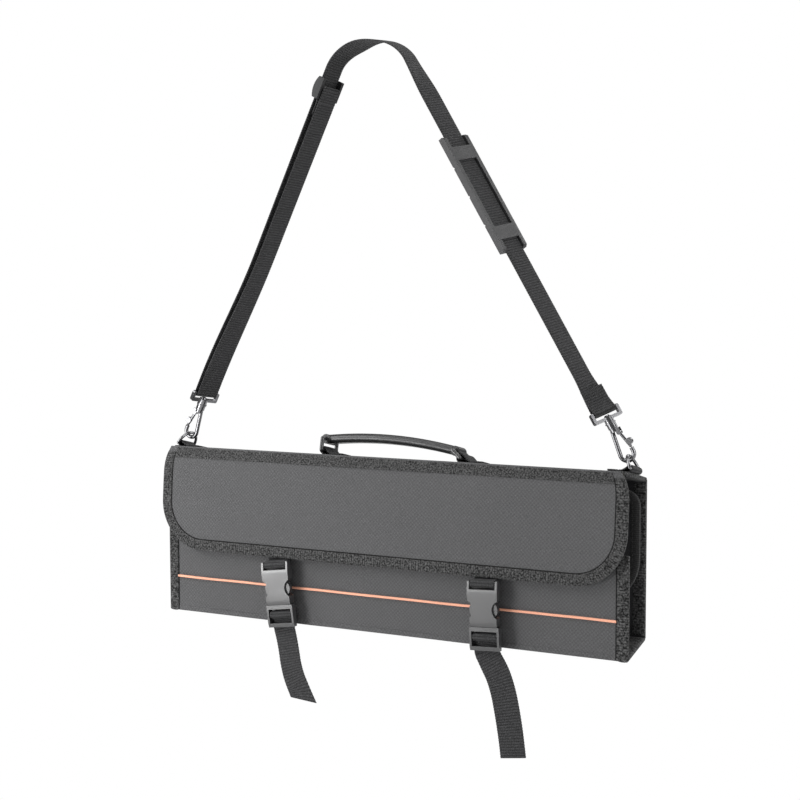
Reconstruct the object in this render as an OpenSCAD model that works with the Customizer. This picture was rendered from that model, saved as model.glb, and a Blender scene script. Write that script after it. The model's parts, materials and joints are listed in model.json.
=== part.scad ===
// Hard knife case with a lid, two side-release buckles, a carry handle and a shoulder strap.
// It hangs from the crown of its strap, and the origin is the underside of that crown.
// X runs along the case, +Y points to its back and +Z points up. All sizes are millimetres.

/* [Case] */
// Width of the case, from one open end to the other
case_w = 500; // [460:1:540]
// Depth of the closed case, from the front panel to the back panel
case_d = 50; // [46:0.5:56]
// Height of the lid's fold above the front bottom edge
fold_h = 171.6; // [168:0.1:178]
// Height of the back panel's top edge
back_top_h = 160.3; // [157:0.1:163]
// Height of the back panel's bottom edge
base_rise = 10; // [7:0.5:13]
// Height of the front panel
front_h = 96; // [88:0.5:97]

/* [Panel layers] */
// Thickness of the outer fabric and of the lining
skin_t = 0.8; // [0.6:0.1:1]
// Thickness of the stiffening board
board_t = 1.6; // [1.2:0.1:1.8]
// Thickness of the binding tape
tape_t = 0.6; // [0.4:0.1:0.7]
// Width of the binding tape on each face
tape_w = 12; // [9:0.5:14]
// Gap left at a fold, so that two boards can turn
fold_gap = 0.2; // [0.1:0.05:0.4]

/* [Lid] */
// How much wider the lid is than the case
lid_over = 4; // [-4:1:8]
// Sideways shift of the lid on the case
lid_shift = -2; // [-3:0.5:3]
// Drop of the lid from its fold to its lower edge
lid_drop = 105.6; // [98:0.1:108]
// How far the lid's lower edge stands in front of the fold
lid_lean = 8; // [7:0.5:11]
// How far the lid bulges between its fold and its lower edge
lid_bulge = 1.3; // [0.8:0.1:2.5]
// Radius of the lid's lower corners
lid_corner_r = 50; // [35:1:60]
// Width of the stitched band along the lid's fold
band_w = 10; // [6:0.5:14]

/* [Front] */
// Height of the piping on the front panel
piping_h = 36; // [28:0.5:44]
// Diameter of the piping
piping_d = 2.2; // [1.6:0.1:2.8]
// Height of the tool pocket behind the front panel
pocket_h = 58; // [40:1:64]
// Number of channels in the tool pocket
pocket_count = 3; // [2:1:4]

/* [Inside] */
// Number of knife sleeves on the back panel
sleeve_count = 6; // [4:1:8]
// Height of the knife sleeves
sleeve_h = 104; // [80:1:110]
// Room for a blade in each sleeve and each tool channel
channel_gap = 4.6; // [4.4:0.1:5]
// Width of the seam between two channels
seam_w = 3; // [2:0.5:4]
// Height of the protective flap over the knives
flap_h = 108; // [90:1:110]
// Distance from the back of the case to the protective flap
flap_inset = 14.6; // [13:0.1:18]
// Thickness of the protective flap
flap_t = 2.2; // [1.6:0.1:2.4]
// Radius of the flap's lower corners
flap_corner_r = 45; // [25:1:48]
// Radius of the flap's upper corners
flap_top_r = 15; // [8:1:22]

/* [Webbing] */
// Width of the webbing
web_w = 25; // [24:0.1:25.4]
// Thickness of the webbing
web_t = 1.6; // [1.3:0.1:1.7]
// Play between the webbing and what it is threaded through
web_play = 0.3; // [0.2:0.05:0.35]

/* [Buckles] */
// Distance between the two buckles
buckle_pitch = 226; // [200:1:260]
// Drop from the lid's lower edge to the left buckle's top bar
left_buckle_drop = 6; // [5:0.5:7]
// Drop from the lid's lower edge to the right buckle's top bar
right_buckle_drop = 5; // [5:0.5:7]
// Lean of the left buckle in the plane of the front
left_buckle_lean = 8; // [0:0.5:9]
// Lean of the right buckle in the plane of the front
right_buckle_lean = 3; // [0:0.5:8]
// Distance from the front panel to the middle of a buckle
buckle_stand = 11.5; // [11:0.1:13]
// Width of a buckle
buckle_w = 31; // [30:0.5:33]
// Thickness of a buckle
buckle_t = 9; // [8.4:0.1:9.6]
// Length of the socket below its top bar
socket_l = 40; // [38:0.5:42]
// Radius of the finger hollows in the socket's sides
hollow_r = 9; // [8:0.5:10]
// Width left at the socket's waist
waist_w = 19; // [18:0.5:21]
// Length of the plug's adjuster below the socket
plug_l = 22; // [21:0.5:25]
// Radius of a buckle's webbing bars
buckle_bar_r = 1.9; // [1.7:0.1:2]

/* [Rings and hooks] */
// Distance from the case's end to a D ring
ring_inset = 4; // [3.8:0.1:6]
// Wire radius of a D ring
ring_wire_r = 1.5; // [1.3:0.1:1.6]
// Radius of a D ring to the middle of its wire
ring_r = 14; // [14:0.1:15]
// Height of a D ring's straight bar above the top
ring_lift = 4.6; // [4.3:0.1:6]
// Lean of a D ring towards the middle of the case
ring_lean = 27.85; // [24:0.05:31]
// Wire radius of a snap hook
hook_wire_r = 2; // [1.8:0.1:2.1]
// Radius of the hook's bow to the middle of its wire
hook_bow_r = 6.6; // [6.2:0.1:7]
// Gap between a D ring and the hook's bow
hook_seat = 0.8; // [0.6:0.1:0.8]
// Distance from the D ring to the swivel's webbing bar
swivel_l = 46; // [44:0.5:50]

/* [Shoulder strap] */
// Lean of the strap's left leg
left_leg_lean = 25.2; // [22:0.1:28]
// Lean of the strap's right leg
right_leg_lean = 30.5; // [27:0.1:33]
// Turn of the webbing about the left leg
left_twist = 20; // [0:1:30]
// Turn of the webbing about the right leg
right_twist = 36; // [0:1:40]
// Radius of the strap's crown
crown_r = 55; // [45:1:65]
// Distance from the slider's middle bar up to the crown's bend
slider_gap = 11; // [11:0.5:50]
// Length of the slider
slider_l = 21; // [20:0.5:24]
// Distance from the right D ring to the pad's lower end
pad_at = 217.7; // [160:0.1:250]
// Length of the shoulder pad
pad_l = 124; // [100:1:135]
// Width of the shoulder pad
pad_w = 35; // [33:0.5:40]
// Wall thickness of the shoulder pad
pad_t = 2.4; // [2:0.1:3]
// Length of a bridge across the shoulder pad
bridge_l = 14; // [10:1:20]
// Distance from each end of the pad to its bridge
bridge_inset = 12; // [8:1:20]

/* [Handle] */
// Distance between the handle's webbing tabs
handle_pitch = 146; // [140:1:160]
// Position of the handle along the case, from its middle
handle_at = 5; // [-10:0.5:10]
// How far the grip has slid towards the left tab
handle_slip = 5; // [0:0.5:6]
// Lean of the right end loop
loop_lean = 50; // [40:1:60]
// Looseness of the webbing round the right end loop
slack = 1.3; // [1.1:0.1:1.6]
// Thickness of the grip
grip_t = 8.8; // [8:0.1:10]
// Width of the grip from front to back
grip_w = 16; // [12:0.5:20]
// Radius of the grip's arch
grip_arch_r = 450; // [380:5:600]
// Height of the grip's end loops
loop_h = 15; // [14:0.5:17]
// Wire size of the grip's end loops
loop_t = 3.8; // [3.4:0.1:4]

/* [Hidden] */
$fn = 48;

lid_w = case_w + lid_over;
panel_t = 2 * skin_t + board_t;
board_in = skin_t;
lining_in = skin_t + board_t;
half_w = case_w / 2;
core_half = half_w - tape_t;

// Corners of the closed case's end profile, as [y, z]
front_foot = [0, 0];
fold = [0, fold_h];
back_top = [case_d, back_top_h];
back_foot = [case_d, base_rise];
up = [0, 1];
down = [0, -1];
top_slope = atan2(fold_h - back_top_h, case_d);
base_slope = atan2(base_rise, case_d);
top_len = norm(back_top - fold);
base_len = norm(back_foot - front_foot);
top_back = (back_top - fold) / top_len;
base_back = (back_foot - front_foot) / base_len;
tape_clear = 1.5;

function unit(v) = v / norm(v);
function turn90(d) = [-d[1], d[0]];
function cross2(a, b) = a[0] * b[1] - a[1] * b[0];

// Where two panels meet at corner p, the point that lies depth d inside both of them.
// own runs along the panel that is drawn, other along its neighbour.
function inside(p, own, other, d, gap = fold_gap) =
  p + d * (own + other) / abs(cross2(own, other)) + own * gap;

// A layer from depth d0 to d1 of the flat panel between corners p and q
function layer(p, q, p_next, q_next, d0, d1, gap = fold_gap) =
  let (own = unit(q - p))
  [inside(p, own, p_next, d0, gap), inside(q, -own, q_next, d0, gap),
   inside(q, -own, q_next, d1, gap), inside(p, own, p_next, d1, gap)];

// Outline of a band of thickness t that follows the points p
function seg_normal(a, b) = turn90(unit(b - a));
function band_normal(p, i) =
  i == 0 ? seg_normal(p[0], p[1]) :
  i == len(p) - 1 ? seg_normal(p[i - 1], p[i]) :
  let (a = seg_normal(p[i - 1], p[i]), b = seg_normal(p[i], p[i + 1])) (a + b) / (1 + a * b);
function band(p, t) = concat(
  [for (i = [0 : len(p) - 1]) p[i] + band_normal(p, i) * t / 2],
  [for (i = [len(p) - 1 : -1 : 0]) p[i] - band_normal(p, i) * t / 2]);
function arc(c, r, a0, a1, n) = [for (i = [0 : n]) let (a = a0 + (a1 - a0) * i / n) c + r * [cos(a), sin(a)]];

// Extrudes an outline drawn in [y, z] along X, about the middle of the case
module along_x(w, from = undef) {
  translate([from == undef ? -w / 2 : from, 0, 0]) rotate([90, 0, 90]) linear_extrude(w) children();
}

// Extrudes an outline drawn in [x, z] along Y, starting at y = from
module along_y(t, from) {
  translate([0, from + t, 0]) rotate([90, 0, 0]) linear_extrude(t) children();
}

// Frame on the sloping top: X along the case, Y down the slope, Z out of the fabric
module on_top() {
  translate([0, 0, fold_h]) rotate([-top_slope, 0, 0]) children();
}

// The D rings, as points in the frame of the case
ring_x = half_w - ring_inset;
ring_up = [sin(ring_lean), 0, cos(ring_lean)];
ring_turn = atan2(sin(ring_lean), cos(ring_lean) * cos(top_slope));
ring_y = top_len / 2 * cos(top_slope) + ring_lift * sin(top_slope);
ring_z = fold_h - top_len / 2 * sin(top_slope) + ring_lift * cos(top_slope);
clip_x = ring_x - ring_r * sin(ring_lean);
clip_z = ring_z + ring_r * cos(ring_lean);
left_clip = [-clip_x, ring_y, clip_z];
right_clip = [clip_x, ring_y, clip_z];

// The shoulder strap: a straight leg on each side and a crown that turns from one to the other
eye_bar_r = 1.5;
wrap_r = eye_bar_r + web_play + web_t / 2;
left_up = [sin(left_leg_lean), 0, cos(left_leg_lean)];
right_up = [-sin(right_leg_lean), 0, cos(right_leg_lean)];
left_face = cos(left_twist) * [cos(left_leg_lean), 0, -sin(left_leg_lean)] - sin(left_twist) * [0, 1, 0];
right_face = sin(right_twist) * [0, 1, 0] - cos(right_twist) * [cos(right_leg_lean), 0, sin(right_leg_lean)];
left_line = left_clip - left_face * wrap_r;
right_line = right_clip + right_face * wrap_r;
function xz_of(p) = [p[0], p[2]];
left_reach = cross2(xz_of(right_line - left_line), xz_of(right_up)) / cross2(xz_of(left_up), xz_of(right_up));
apex = xz_of(left_line) + left_reach * xz_of(left_up);
half_apex = (left_leg_lean + right_leg_lean) / 2;
crown_c = apex - unit(xz_of(left_up) + xz_of(right_up)) * crown_r / sin(half_apex);
crown_from = 180 - left_leg_lean;
crown_to = right_leg_lean;
function crown_share(a) = (crown_from - a) / (crown_from - crown_to);
function crown_y(a) = left_line[1] + (right_line[1] - left_line[1]) * crown_share(a);
function crown_out(a) = [cos(a), 0, sin(a)];
function crown_at(a) = [crown_c[0], crown_y(a), crown_c[1]] + crown_r * crown_out(a);
function crown_twist(a) = -left_twist + (left_twist + right_twist) * crown_share(a);
function crown_across(a) = cos(crown_twist(a)) * [0, 1, 0] + sin(crown_twist(a)) * crown_out(a);
crown_steps = 24;
crown_angles = [for (i = [0 : crown_steps]) crown_from + (crown_to - crown_from) * i / crown_steps];
hang_point = crown_at(90) - [0, 0, web_t / 2];

// Moves the case from its own corner to the place where it hangs
module hung() {
  translate(-hang_point) children();
}

// A ribbon of webbing through the points p, with the unit vectors across it in w
module ribbon(p, w, width, thick) {
  n = len(p);
  function along(i) = unit(p[min(i + 1, n - 1)] - p[max(i - 1, 0)]);
  function ring(i) =
    let (across = unit(w[i] - along(i) * (w[i] * along(i))), face = cross(along(i), across))
    [for (c = [[-1, -1], [1, -1], [1, 1], [-1, 1]])
      p[i] + across * c[0] * width / 2 + face * c[1] * thick / 2];
  points = [for (i = [0 : n - 1]) each ring(i)];
  sides = [for (i = [0 : n - 2], k = [0 : 3])
    let (a = 4 * i + k, b = 4 * i + (k + 1) % 4) each [[a, a + 4, b], [b, a + 4, b + 4]]];
  e = 4 * (n - 1);
  polyhedron(points, concat([[0, 2, 3], [0, 1, 2], [e, e + 2, e + 1], [e, e + 3, e + 2]], sides));
}

// Frame on a strap leg: origin at the D ring, Z up the leg, X towards the case's middle
module on_leg(side) {
  mirror([side > 0 ? 1 : 0, 0, 0]) translate(left_clip)
    rotate([0, side > 0 ? right_leg_lean : left_leg_lean, 0]) children();
}

// The same frame turned about the leg, so that Y runs across the webbing
module on_web(side) {
  on_leg(side) rotate([0, 0, side > 0 ? right_twist : -left_twist]) children();
}

// Webbing bent round a bar, drawn in [x, z] of the leg's webbing frame
module web_bend(bar_x, bar_z, r, a0, a1) {
  along_y(web_w, -web_w / 2) polygon(band(arc([bar_x, bar_z], r, a0, a1, 10), web_t));
}

stub_l = 24;
module shoulder_strap() {
  legs_p = concat([left_line + left_up * swivel_l], [for (a = crown_angles) crown_at(a)],
    [right_line + right_up * swivel_l]);
  legs_w = concat([crown_across(crown_from)], [for (a = crown_angles) crown_across(a)],
    [crown_across(crown_to)]);
  color("#36373a") hung() {
    ribbon(legs_p, legs_w, web_w, web_t);
    on_web(-1) web_bend(0, swivel_l, wrap_r, 180, 359.9);
    on_web(1) {
      web_bend(0, swivel_l, wrap_r, 360, 180.1);
      along_y(web_w, -web_w / 2) polygon(band([[-wrap_r, swivel_l - 0.01],
        [wrap_r - web_t, swivel_l + stub_l / 2], [wrap_r - web_t, swivel_l + stub_l]], web_t));
    }
  }
}

slider_at = left_reach - crown_r / tan(half_apex) - slider_gap;
// The slider's middle bar stands off the strap, with one layer of webbing round it
slider_bar_r = 1.3;
slider_wrap_r = slider_bar_r + web_play + web_t / 2;
slider_bar_x = -wrap_r + web_t / 2 + web_play + web_t + web_play + slider_bar_r;
slider_wall = 3.2;
slider_bar_half = web_w / 2 + web_play;
return_fold = 26;
module strap_return() {
  outer_x = slider_bar_x + slider_wrap_r;
  under = [slider_bar_x - slider_wrap_r, slider_at];
  color("#343538") hung() on_web(-1) along_y(web_w, -web_w / 2)
    polygon(band(concat([[wrap_r, swivel_l], [outer_x, slider_at]],
      arc([slider_bar_x, slider_at], slider_wrap_r, 15, 165, 8), [under],
      [[outer_x - web_t - 0.12, slider_at - return_fold / 2],
       [outer_x - web_t - 0.2, slider_at - return_fold]]), web_t));
}

// Tri-glide slider: two side plates, two bars behind the strap and one in front of it
module strap_slider() {
  rear_x = -wrap_r - web_t / 2 - web_play;
  side_h = slider_bar_x + slider_bar_r - rear_x + 2 * slider_bar_r;
  bow_r = slider_l;
  color("#2e2f31") hung() on_web(-1) translate([0, 0, slider_at]) {
    for (s = [-1, 1]) translate([0, s * (slider_bar_half + slider_wall / 2), 0])
      intersection() {
        along_y(slider_wall, -slider_wall / 2)
          translate([rear_x - 2 * slider_bar_r + side_h / 2, 0]) square([side_h, slider_l], center = true);
        along_y(slider_wall, -slider_wall / 2)
          translate([rear_x - 2 * slider_bar_r + bow_r, 0]) circle(bow_r);
      }
    for (z = [-1, 1]) translate([rear_x - slider_bar_r, 0, z * (slider_l / 2 - slider_bar_r - 1.4)])
      rotate([90, 0, 0]) cylinder(r = slider_bar_r, h = 2 * slider_bar_half, center = true);
    translate([slider_bar_x, 0, 0]) rotate([90, 0, 0])
      cylinder(r = slider_bar_r, h = 2 * slider_bar_half, center = true);
  }
}

// Moulded pad: a tray behind the strap, a rim along each side and two bridges in front
module shoulder_pad() {
  back_x = wrap_r + web_t / 2 + web_play;
  front_x = wrap_r - web_t / 2 - web_play;
  rim_in = web_w / 2 + web_play;
  bridge_t = pad_t - 0.4;
  color("#4b4b4d") hung() on_web(1) translate([0, 0, pad_at]) {
    difference() {
      translate([back_x, -pad_w / 2, 0]) cube([pad_t, pad_w, pad_l]);
      for (z = [pad_l / 4 : pad_l / 4 : pad_l - 1])
        translate([back_x + pad_t, 0, z]) rotate([90, 0, 0]) cylinder(r = 1, h = pad_w + 1, center = true);
    }
    for (s = [-1, 1]) difference() {
      translate([front_x - bridge_t, s > 0 ? rim_in : -pad_w / 2, 0])
        cube([back_x - front_x + bridge_t + pad_t / 2, pad_w / 2 - rim_in, pad_l]);
      for (z = [0, pad_l]) translate([front_x - bridge_t, s * pad_w / 2, z]) rotate([0, 45, 0])
        cube([3, pad_w, 3], center = true);
    }
    for (z = [bridge_inset, pad_l - bridge_inset - bridge_l])
      translate([front_x - bridge_t, -rim_in - 0.5, z]) cube([bridge_t, 2 * rim_in + 1, bridge_l]);
  }
}

// Swivel eye: a flat loop for the webbing on top of a round barrel with a bore for the hook
barrel_r = 4.5;
barrel_l = 9;
eye_h = 9;
eye_wall = 3;
stem_r = 2;
stem_play = 0.1;
eye_foot = swivel_l - eye_h;
barrel_foot = eye_foot - barrel_l;
eye_t = 3.8;
module plate(w, h, r) {
  square([w - 2 * r, h], center = true);
  square([w, h - 2 * r], center = true);
  for (x = [-1, 1], z = [-1, 1]) translate([x * (w / 2 - r), z * (h / 2 - r)]) circle(r);
}
module swivel(side) {
  span = web_w + 2 * web_play + 1;
  top = swivel_l + eye_t / 2;
  mid = (eye_foot + top) / 2;
  on_web(side) {
    rotate([90, 0, 0]) translate([0, swivel_l, 0])
      cylinder(r = eye_bar_r, h = span + eye_wall, center = true);
    difference() {
      union() {
        along_x(eye_t) difference() {
          translate([0, mid]) plate(span + 2 * eye_wall, top - eye_foot, 1.8);
          translate([0, (eye_foot + eye_wall + top + 1) / 2])
            square([span, top + 1 - eye_foot - eye_wall], center = true);
        }
        translate([0, 0, barrel_foot]) cylinder(r = barrel_r, h = barrel_l + eye_wall);
        translate([0, 0, eye_foot - barrel_l * 0.45]) cylinder(r = barrel_r + 0.6, h = 1.4);
      }
      translate([0, 0, barrel_foot - 1])
        cylinder(r = stem_r + stem_play, h = barrel_l + eye_wall + 2);
    }
  }
}

module left_swivel() { color("#8d8e90") hung() swivel(-1); }
module right_swivel() { color("#8d8e90") hung() swivel(1); }

// Snap hook: stem and rivet head, collar with two ears, back arm, bow and nose
collar_h = 3;
collar_top = barrel_foot - 0.3;
gate_pin = [-3.4, collar_top - collar_h - 2.4];
gate_pin_r = 0.8;
gate_pin_play = 0.1;
gate_boss_r = 2;
ear_t = 1.2;
gate_half = 1.7;
bow_z = -(ring_wire_r + hook_wire_r + hook_seat) + hook_bow_r;
nose_z = bow_z + 3;
arm_top = [2.4, collar_top - collar_h / 2];

// A round bar between two points drawn in [x, z]
module rod(a, b, r) {
  d = b - a;
  translate([a[0], 0, a[1]]) rotate([0, atan2(d[0], d[1]), 0]) cylinder(r = r, h = norm(d));
}

module hook(side) {
  on_leg(side) {
    translate([0, 0, collar_top - 0.1])
      cylinder(r = stem_r, h = swivel_l - eye_h + eye_wall + 0.7 - collar_top);
    translate([0, 0, eye_foot + eye_wall + 0.3]) cylinder(r1 = 3, r2 = 2.2, h = 1.2);
    translate([0, 0, collar_top - collar_h]) cylinder(r = 4, h = collar_h);
    rod([hook_bow_r, bow_z], arm_top, hook_wire_r);
    translate([hook_bow_r, 0, bow_z]) sphere(r = hook_wire_r);
    translate([0, 0, bow_z]) rotate([90, 0, 0]) rotate([0, 0, 180]) rotate_extrude(angle = 180)
      translate([hook_bow_r, 0]) circle(r = hook_wire_r);
    rod([-hook_bow_r, bow_z - 0.01], [-hook_bow_r, nose_z], hook_wire_r);
    for (s = [-1, 1]) translate([gate_pin[0], s * (gate_half + 0.2 + ear_t / 2), 0]) {
      translate([0, 0, gate_pin[1]]) rotate([90, 0, 0]) cylinder(r = gate_boss_r, h = ear_t, center = true);
      translate([0, 0, (gate_pin[1] + collar_top - 0.5) / 2])
        cube([2 * gate_boss_r, ear_t, collar_top - 0.5 - gate_pin[1]], center = true);
    }
    translate([gate_pin[0], 0, gate_pin[1]]) rotate([90, 0, 0])
      cylinder(r = gate_pin_r, h = 2 * (gate_half + 0.2 + ear_t), center = true);
  }
}

module left_hook() { color("#9a9b9d") hung() hook(-1); }
module right_hook() { color("#9a9b9d") hung() hook(1); }

// Spring gate: a boss on the ears' pin, a lever to the nose and a thumb paddle
gate_r = 1.5;
module gate(side) {
  tip = [-hook_bow_r, nose_z + 0.4 + gate_r];
  on_leg(side) difference() {
    union() {
      translate([gate_pin[0], 0, gate_pin[1]]) rotate([90, 0, 0])
        cylinder(r = gate_boss_r, h = 2 * gate_half, center = true);
      rod(tip, gate_pin, gate_r);
      translate([tip[0], 0, tip[1]]) sphere(r = gate_r);
      translate([tip[0] - 1.2, 0, tip[1] + 4]) rotate([90, 0, 0])
        cylinder(r = 3.2, h = 2 * gate_half, center = true);
    }
    translate([gate_pin[0], 0, gate_pin[1]]) rotate([90, 0, 0])
      cylinder(r = gate_pin_r + gate_pin_play, h = 2 * gate_half + 1, center = true);
    translate([tip[0] + 1.6, -5, tip[1]]) rotate([0, 9, 0]) translate([1.2, 0, 0]) cube([8, 10, 9]);
  }
}

module left_gate() { color("#a5a6a8") hung() gate(-1); }
module right_gate() { color("#a5a6a8") hung() gate(1); }

// Flat panel layers and the tape over their open ends
module top_layer(d0, d1) {
  hung() along_x(2 * core_half) polygon(layer(fold, back_top, down, down, d0, d1));
}
module top_cover() { color("#4a4a4c") top_layer(0, skin_t); }
module top_board() { color("#77736c") top_layer(board_in, lining_in); }
module top_lining() { color("#3f4042") top_layer(lining_in, panel_t); }

// Binding tape folded over both ends of the flat panel between corners p and q
module end_tape(p, q, p_next, q_next) {
  for (s = [-1, 1]) difference() {
    along_x(tape_w, s > 0 ? half_w - tape_w : -half_w)
      polygon(layer(p, q, p_next, q_next, -tape_t, panel_t + tape_t, tape_clear));
    along_x(2 * core_half) polygon(layer(p, q, p_next, q_next, 0, panel_t, 0));
  }
}

tab_bore = ring_wire_r + web_play;
tab_foot = 22;
// Webbing tab round the ring's straight bar, with its foot sewn flat on the top
module ring_tab(side) {
  tab_w = 2 * (ring_r - ring_wire_r) - 1;
  under_tape = tape_w - ring_inset;
  mirror([side > 0 ? 1 : 0, 0, 0]) on_top() translate([-ring_x, top_len / 2, 0])
    difference() {
      along_y(tab_w, -tab_w / 2) union() {
        translate([0, ring_lift]) circle(tab_bore + web_t);
        polygon([[-tab_bore - web_t + 0.6, tape_t], [under_tape, tape_t], [under_tape, 0], [tab_foot, 0],
          [tab_foot, web_t], [tab_bore + web_t + 3, 2 * web_t], [tab_bore + web_t - 0.4, ring_lift],
          [-tab_bore - web_t + 0.4, ring_lift]]);
      }
      translate([0, 0, ring_lift]) rotate([90, 0, 0]) cylinder(r = tab_bore, h = web_w + 2, center = true);
    }
}

module left_ring_tab() { color("#333437") hung() ring_tab(-1); }
module right_ring_tab() { color("#333437") hung() ring_tab(1); }

module top_binding() { color("#3a3b3d") hung() end_tape(fold, back_top, down, down); }

// D ring: a straight bar along the slope and a half round bow
module d_ring(side) {
  mirror([side > 0 ? 1 : 0, 0, 0]) on_top() translate([-ring_x, top_len / 2, ring_lift])
    rotate([0, ring_turn, 0]) {
      rotate([90, 0, 0]) cylinder(r = ring_wire_r, h = 2 * ring_r, center = true);
      rotate([90, 0, 90]) rotate_extrude(angle = 180) translate([ring_r, 0]) circle(r = ring_wire_r);
      for (s = [-1, 1]) translate([0, s * ring_r, 0]) sphere(r = ring_wire_r);
    }
}

module left_d_ring() { color("#a8a9ab") hung() d_ring(-1); }
module right_d_ring() { color("#a8a9ab") hung() d_ring(1); }

// Handle: an arched grip between two rectangular loops. The left loop stands, the right one leans.
// It is drawn in the frame of the sloping top, as [x, z] above the fabric.
handle_y = top_len / 2;
left_tab_x = handle_at - handle_pitch / 2;
right_tab_x = handle_at + handle_pitch / 2;
loop_bar = loop_t / 2;
left_bore = loop_bar + web_play;
right_bore = loop_bar + slack;
left_bar = [left_tab_x - handle_slip, left_bore + web_t + 2.2];
right_bar = [right_tab_x, right_bore + web_t + 0.2];
loop_reach = loop_h - loop_t;
left_top = left_bar + [0, loop_reach];
right_top = right_bar + loop_reach * [-sin(loop_lean), cos(loop_lean)];
grip_len = norm(right_top - left_top);
grip_half_angle = asin(grip_len / 2 / grip_arch_r);
grip_tilt = atan2(right_top[1] - left_top[1], right_top[0] - left_top[0]);
loop_w = web_w + 2 * web_play + 2 * loop_t;

// A round bar along the slope, through a point of the handle
module cross_bar(p, r, w) {
  translate([p[0], handle_y, p[1]]) rotate([90, 0, 0]) cylinder(r = r, h = w, center = true);
}

module handle_loop(bar, lean) {
  on_top() translate([bar[0], handle_y, bar[1]]) rotate([0, -lean, 0]) {
    for (z = [0, loop_reach]) translate([0, 0, z]) rotate([90, 0, 0])
      cylinder(r = loop_bar, h = loop_w - loop_t, center = true);
    for (s = [-1, 1]) translate([0, s * (loop_w - loop_t) / 2, 0]) {
      cylinder(r = loop_bar, h = loop_reach);
      for (z = [0, loop_reach]) translate([0, 0, z]) sphere(r = loop_bar);
    }
  }
}
module left_handle_loop() { color("#48494b") hung() handle_loop(left_bar, 0); }
module right_handle_loop() { color("#48494b") hung() handle_loop(right_bar, loop_lean); }

module handle_grip() {
  mid = (left_top + right_top) / 2;
  sag = grip_arch_r * cos(grip_half_angle);
  color("#3c3c3e") hung() on_top() difference() {
    union() {
      translate([mid[0], handle_y, mid[1]]) rotate([0, -grip_tilt, 0]) translate([0, 0, -sag])
        rotate([90, 0, 0]) rotate([0, 0, 90 - grip_half_angle])
        rotate_extrude(angle = 2 * grip_half_angle, $fn = 360) translate([grip_arch_r, 0]) {
          square([grip_t, grip_w - grip_t], center = true);
          for (s = [-1, 1]) translate([0, s * (grip_w - grip_t) / 2]) circle(d = grip_t, $fn = 24);
        }
      for (p = [left_top, right_top]) cross_bar(p, grip_t / 2 + 0.4, grip_w + 1);
    }
    for (p = [left_top, right_top]) cross_bar(p, loop_bar + 0.1, grip_w + 4);
  }
}

// Webbing tabs round the loops' lower bars, with their feet sewn flat on the top
handle_foot = 22;
module handle_tabs() {
  color("#333437") hung() on_top()
    for (tab = [[left_bar, left_bore], [right_bar, right_bore]]) difference() {
      bar = tab[0];
      r = tab[1] + web_t;
      along_y(web_w, handle_y - web_w / 2) {
        translate(bar) circle(r);
        polygon([bar + [-r + 0.4, 0], [bar[0] - r + 1.4, 0], [bar[0] + handle_foot, 0],
          [bar[0] + handle_foot, web_t], [bar[0] + r + 3, 2 * web_t],
          [bar[0] + r - 0.4, max(bar[1] - 1, 2 * web_t)]]);
      }
      cross_bar(bar, tab[1], web_w + 2);
    }
}

// Lid: a shallow curved shell that hangs from the fold
lid_foot = fold + [-lid_lean, -lid_drop];
lid_chord = norm(lid_foot - fold);
lid_along = (lid_foot - fold) / lid_chord;
lid_out = -turn90(lid_along) * sign(turn90(lid_along)[0]);
lid_r = (lid_chord * lid_chord / 4 + lid_bulge * lid_bulge) / (2 * lid_bulge);
lid_half_angle = asin(lid_chord / 2 / lid_r);
lid_c = (fold + lid_foot) / 2 - lid_out * (lid_r - lid_bulge);
lid_len = lid_r * lid_half_angle * 2 * PI / 180;
lid_steps = 14;
fold_angle = 90 - top_slope;
function lid_at(s, d) =
  let (a = -lid_half_angle + s / lid_len * 2 * lid_half_angle)
  lid_c + (lid_r - d) * (lid_out * cos(a) + lid_along * sin(a));
// The lid's curve at depth d, from distance s0 to s1 below the fold, mitred to the top's edge
function lid_line(d, s0, s1) =
  let (from = max(s0, fold_gap + max(d, 0) / tan(fold_angle / 2)), pitch = lid_len / lid_steps)
  concat([lid_at(from, d)],
    [for (i = [1 : lid_steps]) if (i * pitch > from + 1 && i * pitch < s1 - 1) lid_at(i * pitch, d)],
    [lid_at(s1, d)]);
function reversed(p) = [for (i = [len(p) - 1 : -1 : 0]) p[i]];
// A layer of the lid between depths d0 and d1
function lid_layer(d0, d1, s0, s1) = concat(lid_line(d0, s0, s1), reversed(lid_line(d1, s0, s1)));

// Outline of the lid in [x, z], drawn in by edge on the sides and along the lower edge
module lid_outline(edge) {
  r = lid_corner_r - edge;
  foot_z = lid_foot[1] + edge;
  translate([lid_shift, 0]) {
    translate([-lid_w / 2 + edge, foot_z + r]) square([lid_w - 2 * edge, lid_drop + 20 - r]);
    translate([-lid_w / 2 + edge + r, foot_z]) square([lid_w - 2 * edge - 2 * r, r + 1]);
    for (s = [-1, 1]) translate([s * (lid_w / 2 - edge - r), foot_z + r]) circle(r, $fn = 96);
  }
}

module lid_slab(d0, d1, s0 = 0) {
  along_x(lid_w + 20) polygon(lid_layer(d0, d1, s0, lid_len + 4));
}

module lid_sheet(d0, d1) {
  hung() intersection() {
    lid_slab(d0, d1, fold_gap);
    along_y(4 * lid_lean + 20, -2 * lid_lean - 10) lid_outline(tape_t);
  }
}

module lid_cover() { color("#565658") lid_sheet(0, skin_t); }
module lid_board() { color("#77736c") lid_sheet(board_in, lining_in); }
module lid_lining() { color("#3f4042") lid_sheet(lining_in, panel_t); }

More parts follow.
